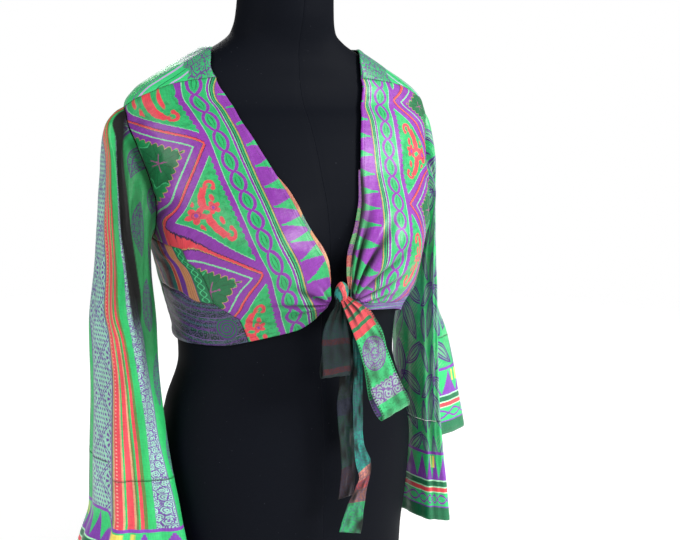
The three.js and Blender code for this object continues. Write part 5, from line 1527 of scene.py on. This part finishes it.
class WRAPTOP_OT_sleeves(bpy.types.Operator):
    """Hang the two long wide sleeves and their ends"""

    bl_idname = "wraptop.sleeves"
    bl_label = "Sleeves"

    def execute(self, context):
        look = context.scene.wrap_top
        for side in ("right", "left"):
            rings, out, seam_z, seam, shade = sleeve_grids(side, look.crease_depth)
            shut = lambda a: np.concatenate([a, a[:, :1]], 1)
            index = np.arange(rings.shape[1] + 1)[None] / MARK_STEPS
            z = shut(rings[..., 2])
            if side == "right":
                u = stripe_run(index, z)
                # Painted shade: the cloth beyond the deep pleat is painted darker as far as the 13th mark,
                # and the deep pleat itself darker still.
                beyond = np.clip(0.6 * ease((index - 3.2 - ease((540 - z) / 160) * 4.2) / 0.8), 0, 1)
                beyond = beyond * ease((13.0 - index) / 2) * ease((z - 225) / 130)
                shade = np.maximum(0.6 * shade, np.maximum(1.08 * pleat_shade(index, z), beyond)[:, :-1])
            else:
                u = index * (GIRTH[side] / MARKS) + 0 * z
            below = shut(seam_z[None] - rings[..., 2])
            for name, rows, hems, seams in (
                (f"sleeve_{side}", slice(0, seam + 1), [], ["bottom", "top"]),
                (f"sleeve_end_{side}", slice(seam, None), ["top"], ["bottom"]),
            ):
                grid = rings[rows]
                runs = edge_runs(grid)
                hem, joint = nearest(runs, hems), nearest(runs, seams)
                lift = WALL - SLEEVE_PRESS * bell(joint / SEAM_WIDTH) + SLEEVE_PRESS * doubled(hem)
                outer = grid + out[rows] * lift[..., None]
                end = name.startswith("sleeve_end")
                if end:
                    outer[0] += unit(grid[1] - grid[0]) * SLEEVE_END_GAP
                else:
                    outer[-1] += unit(grid[-2] - grid[-1]) * SLEEVE_END_GAP
                thick = look.cloth_thickness * 1000 * (1 + HEM_THICKEN * doubled(hem))
                inner = outer - out[rows] * thick[..., None]
                maps = maps_for(u[rows], below[rows], shut(hem), shut(joint), shut(shade[rows]))
                cloth(name, outer, inner, maps, sleeve_silk(name + "_print", side, end),
                      around=True)
        return {"FINISHED"}


class WRAPTOP_OT_bow(bpy.types.Operator):
    """Tie the knot, its loops and its tails"""

    bl_idname = "wraptop.bow"
    bl_label = "Bow"

    def execute(self, context):
        look = context.scene.wrap_top
        v, u = np.mgrid[0:np.pi:61j, 0:2 * np.pi:96j]
        v, u = v[:, :-1], u[:, :-1]
        up = v - np.pi / 2
        crease = 0.98 + 0.1 * np.cos(3 * u + 2 * up)
        crease = crease - 0.13 * bell(np.sin(2.5 * u - 1.7 * up + 0.6) / 0.28)
        crease = crease - 0.05 * np.abs(np.sin(9 * u + 5 * up))
        rings = np.stack([
            KNOT["x"] + KNOT["half_width"] * np.cos(up) * np.cos(u) * crease,
            KNOT["y"] + KNOT["half_depth"] * np.cos(up) * np.sin(u) * crease,
            KNOT["z"] + KNOT["half_height"] * np.sin(up),
        ], -1)[1:-1]
        ends = [[KNOT["x"], KNOT["y"], KNOT["z"] + s * KNOT["half_height"]] for s in (-1, 1)]
        vertices, faces = close_ends(rings, ends)
        paint = Paint("knot_print")
        (x, _, z), vector = paint.place()
        bands = paint.stripes(x + (z - 405.0) * 0.25 + paint.noise(vector, 90.0) * 4.0, -10.0, 14.0, [
            (-10, "0B4A44"), (-4.5, "1C8A80"), (-2.0, "0E4E40"),
            (-0.5, "C8404A"), (4.0, "E0584A"), (6.5, "178A76"),
            (9.0, "0E5E48")])
        bump = paint.bump(paint.noise(vector, 240.0, 3.0), 0.001)
        silk = paint.finish(bands, 0.42 + paint.noise(vector, 300.0) * 0.1, bump, sheen=0.25)
        knot = put("tie_knot_cloth", vertices, faces, {}, [], np.zeros(len(faces), bool), silk,
                   "tie_knot")
        coral, green = "E04850", "1F7A4A"
        front = [(0, coral), (12, green), (15, coral), (24, green), (29, coral), (39, green), (44, coral),
                 (54, "39C878"), (158, "2FB46C"), (176, "7B5AA8"), (200, "2FB46C"), (240, "9A7CC0"),
                 (262, "2FB46C"), (300, coral)]
        # Each strip's tints and tone. The right loop and the right tail hang in shade: painted shade in
        # their dark tints and their tones of 0.2 and 0.3.
        prints = {
            "tie_loop_left": (front, 0.95),
            "tie_loop_right": ([(0, "0F4F48"), (26, "14605A"), (48, "7A2630"), (56, "0F4F48"),
                                (84, "8A2C34"), (92, "0F4F48"), (150, "0B3C38")], 0.2),
            "tie_tail_right": ([(0, "0B4436"), (40, "0E5A44"), (90, "0B4436"), (130, "26304E"),
                                (150, "0E5A44"), (215, "4E2A3A")], 0.3),
            "tie_tail_left": ([(0, "137068"), (60, "1A8A7C"), (120, "127062"), (180, "169080"),
                               (226, "C98070"), (240, "B84848"), (252, "8A5A50"), (270, "1C9A58")], 1.0),
        }
        for name, rows in TIES.items():
            base, face, run, place, shade = tie_grid(rows, TIE_ACROSS, look.crease_depth)
            width = np.linalg.norm(base[:, -1] - base[:, 0], axis=-1)
            u = place[None] * width[:, None]
            v = run[:, None] + 0 * u
            edge = np.minimum(place[None] + 0.5, 0.5 - place[None]) * width[:, None]
            wall = face * TIE_HALF_WALL
            tints, dark = prints[name]
            maps = maps_for(u, v, edge + TIE_STITCH_SHIFT, edge * 0 + FAR, shade)
            cloth(name, base + wall, base - wall, maps, tie_silk(name + "_print", tints, dark),
                  cut=base)
        return {"FINISHED"}


class WRAPTOP_OT_stage(bpy.types.Operator):
    """Set the pale floor, the soft lights and the camera"""

    bl_idname = "wraptop.stage"
    bl_label = "Stage"

    def execute(self, context):
        look, scene = context.scene.wrap_top, context.scene
        circles, spokes = 40, 72
        radius = np.linspace(0.02, 9, circles)[:, None]
        angle = np.linspace(0, 2 * np.pi, spokes + 1)[None, :-1]
        points = np.stack([radius * np.cos(angle), radius * np.sin(angle),
                           0 * radius * angle - 0.0006], -1)
        at = lambda row, column: row * spokes + column % spokes
        r, c = np.mgrid[0:circles - 1, 0:spokes]
        faces = np.stack([at(r, c), at(r + 1, c), at(r + 1, c + 1), at(r, c + 1)], -1)
        mesh = bpy.data.meshes.new("floor")
        mesh.from_pydata(points.reshape(-1, 3).tolist(), [],
                         faces.reshape(-1, 4).tolist() + [list(range(spokes))])
        paint = Paint("pale_floor")
        (x, y, _), _ = paint.place()
        share = paint.step(paint.length(x, y), 1600.0, 1050.0)
        matt = paint.node("ShaderNodeBsdfDiffuse", inputs={0: (0.8, 0.8, 0.8, 1.0)})
        glow = paint.node("ShaderNodeEmission", inputs={0: (1.0, 1.0, 1.0, 1.0), 1: FLOOR_GLOW})
        floor = paint.node("ShaderNodeAddShader", inputs={0: matt.outputs[0], 1: glow.outputs[0]})
        clear = paint.node("ShaderNodeBsdfTransparent")
        both = paint.node("ShaderNodeMixShader",
                          inputs={0: share, 1: floor.outputs[0], 2: clear.outputs[0]})
        paint.node("ShaderNodeOutputMaterial", inputs={0: both.outputs[0]})
        mesh.materials.append(paint.material)
        plate = bpy.data.objects.new("floor", mesh)
        scene.collection.objects.link(plate)
        world = bpy.data.worlds.new("soft_room")
        scene.world = world
        world.use_nodes = True
        nodes, links = world.node_tree.nodes, world.node_tree.links
        nodes.clear()
        seen, felt = nodes.new("ShaderNodeBackground"), nodes.new("ShaderNodeBackground")
        seen.inputs[0].default_value, seen.inputs[1].default_value = (1, 1, 1, 1), 1.0
        felt.inputs[0].default_value, felt.inputs[1].default_value = (1, 1, 1, 1), ROOM_LIGHT
        mix, path, out = (nodes.new(k) for k in ("ShaderNodeMixShader", "ShaderNodeLightPath",
                                                 "ShaderNodeOutputWorld"))
        links.new(path.outputs["Is Camera Ray"], mix.inputs[0])
        links.new(felt.outputs[0], mix.inputs[1])
        links.new(seen.outputs[0], mix.inputs[2])
        links.new(mix.outputs[0], out.inputs[0])
        for name, place, size, power in (
            ("main_light", (1.7, -1.5, 1.7), 0.9, look.key_power),
            ("fill_light", (-2.1, -1.1, 1.5), 1.2, look.key_power * 0.46),
            ("back_light", (0.6, 2.1, 1.8), 1.4, look.key_power * 0.5),
            ("front_light", (0.25, -2.6, 0.9), 1.3, look.key_power * 0.22),
        ):
            light = bpy.data.lights.new(name, "AREA")
            light.shape, light.size, light.energy = "DISK", size, power
            lamp = bpy.data.objects.new(name, light)
            scene.collection.objects.link(lamp)
            aim = np.array([0.0, 0.0, 0.45]) - np.array(place)
            flat = math.hypot(aim[0], aim[1])
            lamp.location = place
            lamp.rotation_euler = (math.pi / 2 + math.atan2(aim[2], flat), 0, math.atan2(-aim[0], aim[1]))
        camera = bpy.data.cameras.new("camera")
        camera.sensor_width, camera.lens = SENSOR, VIEW_FOCUS / VIEW_WIDTH * SENSOR
        camera.shift_x = (VIEW_WIDTH / 2 - VIEW_AXIS) / VIEW_WIDTH
        eye = bpy.data.objects.new("camera", camera)
        turn = math.radians(CAMERA_TURN)
        eye.location = (CAMERA_REACH * math.sin(turn), -CAMERA_REACH * math.cos(turn), CAMERA_HEIGHT)
        eye.rotation_euler = (math.radians(90.0 - CAMERA_DROP), 0.0, turn)
        scene.collection.objects.link(eye)
        scene.camera = eye
        scene.view_settings.view_transform = "Standard"
        return {"FINISHED"}


class WRAPTOP_PT_panel(bpy.types.Panel):
    """The sidebar panel with the sizes, the colours and the pieces"""

    bl_label = "Wrap Top"
    bl_idname = "WRAPTOP_PT_panel"
    bl_space_type = "VIEW_3D"
    bl_region_type = "UI"
    bl_category = "Wrap Top"

    def draw(self, context):
        for name in ("cloth_thickness", "crease_depth", "jersey_colour", "key_power"):
            self.layout.prop(context.scene.wrap_top, name)
        for operator in OPERATORS:
            self.layout.operator(operator.bl_idname)


OPERATORS = (
    WRAPTOP_OT_stage, WRAPTOP_OT_form, WRAPTOP_OT_bodice, WRAPTOP_OT_facings, WRAPTOP_OT_sleeves,
    WRAPTOP_OT_bow,
)
CLASSES = (WrapTopLook,) + OPERATORS + (WRAPTOP_PT_panel,)


def register():
    """Registers the classes and the scene's settings."""
    for item in CLASSES:
        bpy.utils.register_class(item)
    bpy.types.Scene.wrap_top = bpy.props.PointerProperty(type=WrapTopLook)


def unregister():
    """Takes the classes and the settings away again."""
    del bpy.types.Scene.wrap_top
    for item in reversed(CLASSES):
        bpy.utils.unregister_class(item)


def main():
    """Builds every piece."""
    register()
    bpy.ops.wraptop.stage()
    bpy.ops.wraptop.form()
    bpy.ops.wraptop.bodice()
    bpy.ops.wraptop.facings()
    bpy.ops.wraptop.sleeves()
    bpy.ops.wraptop.bow()
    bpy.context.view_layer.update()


if __name__ == "__main__":
    main()
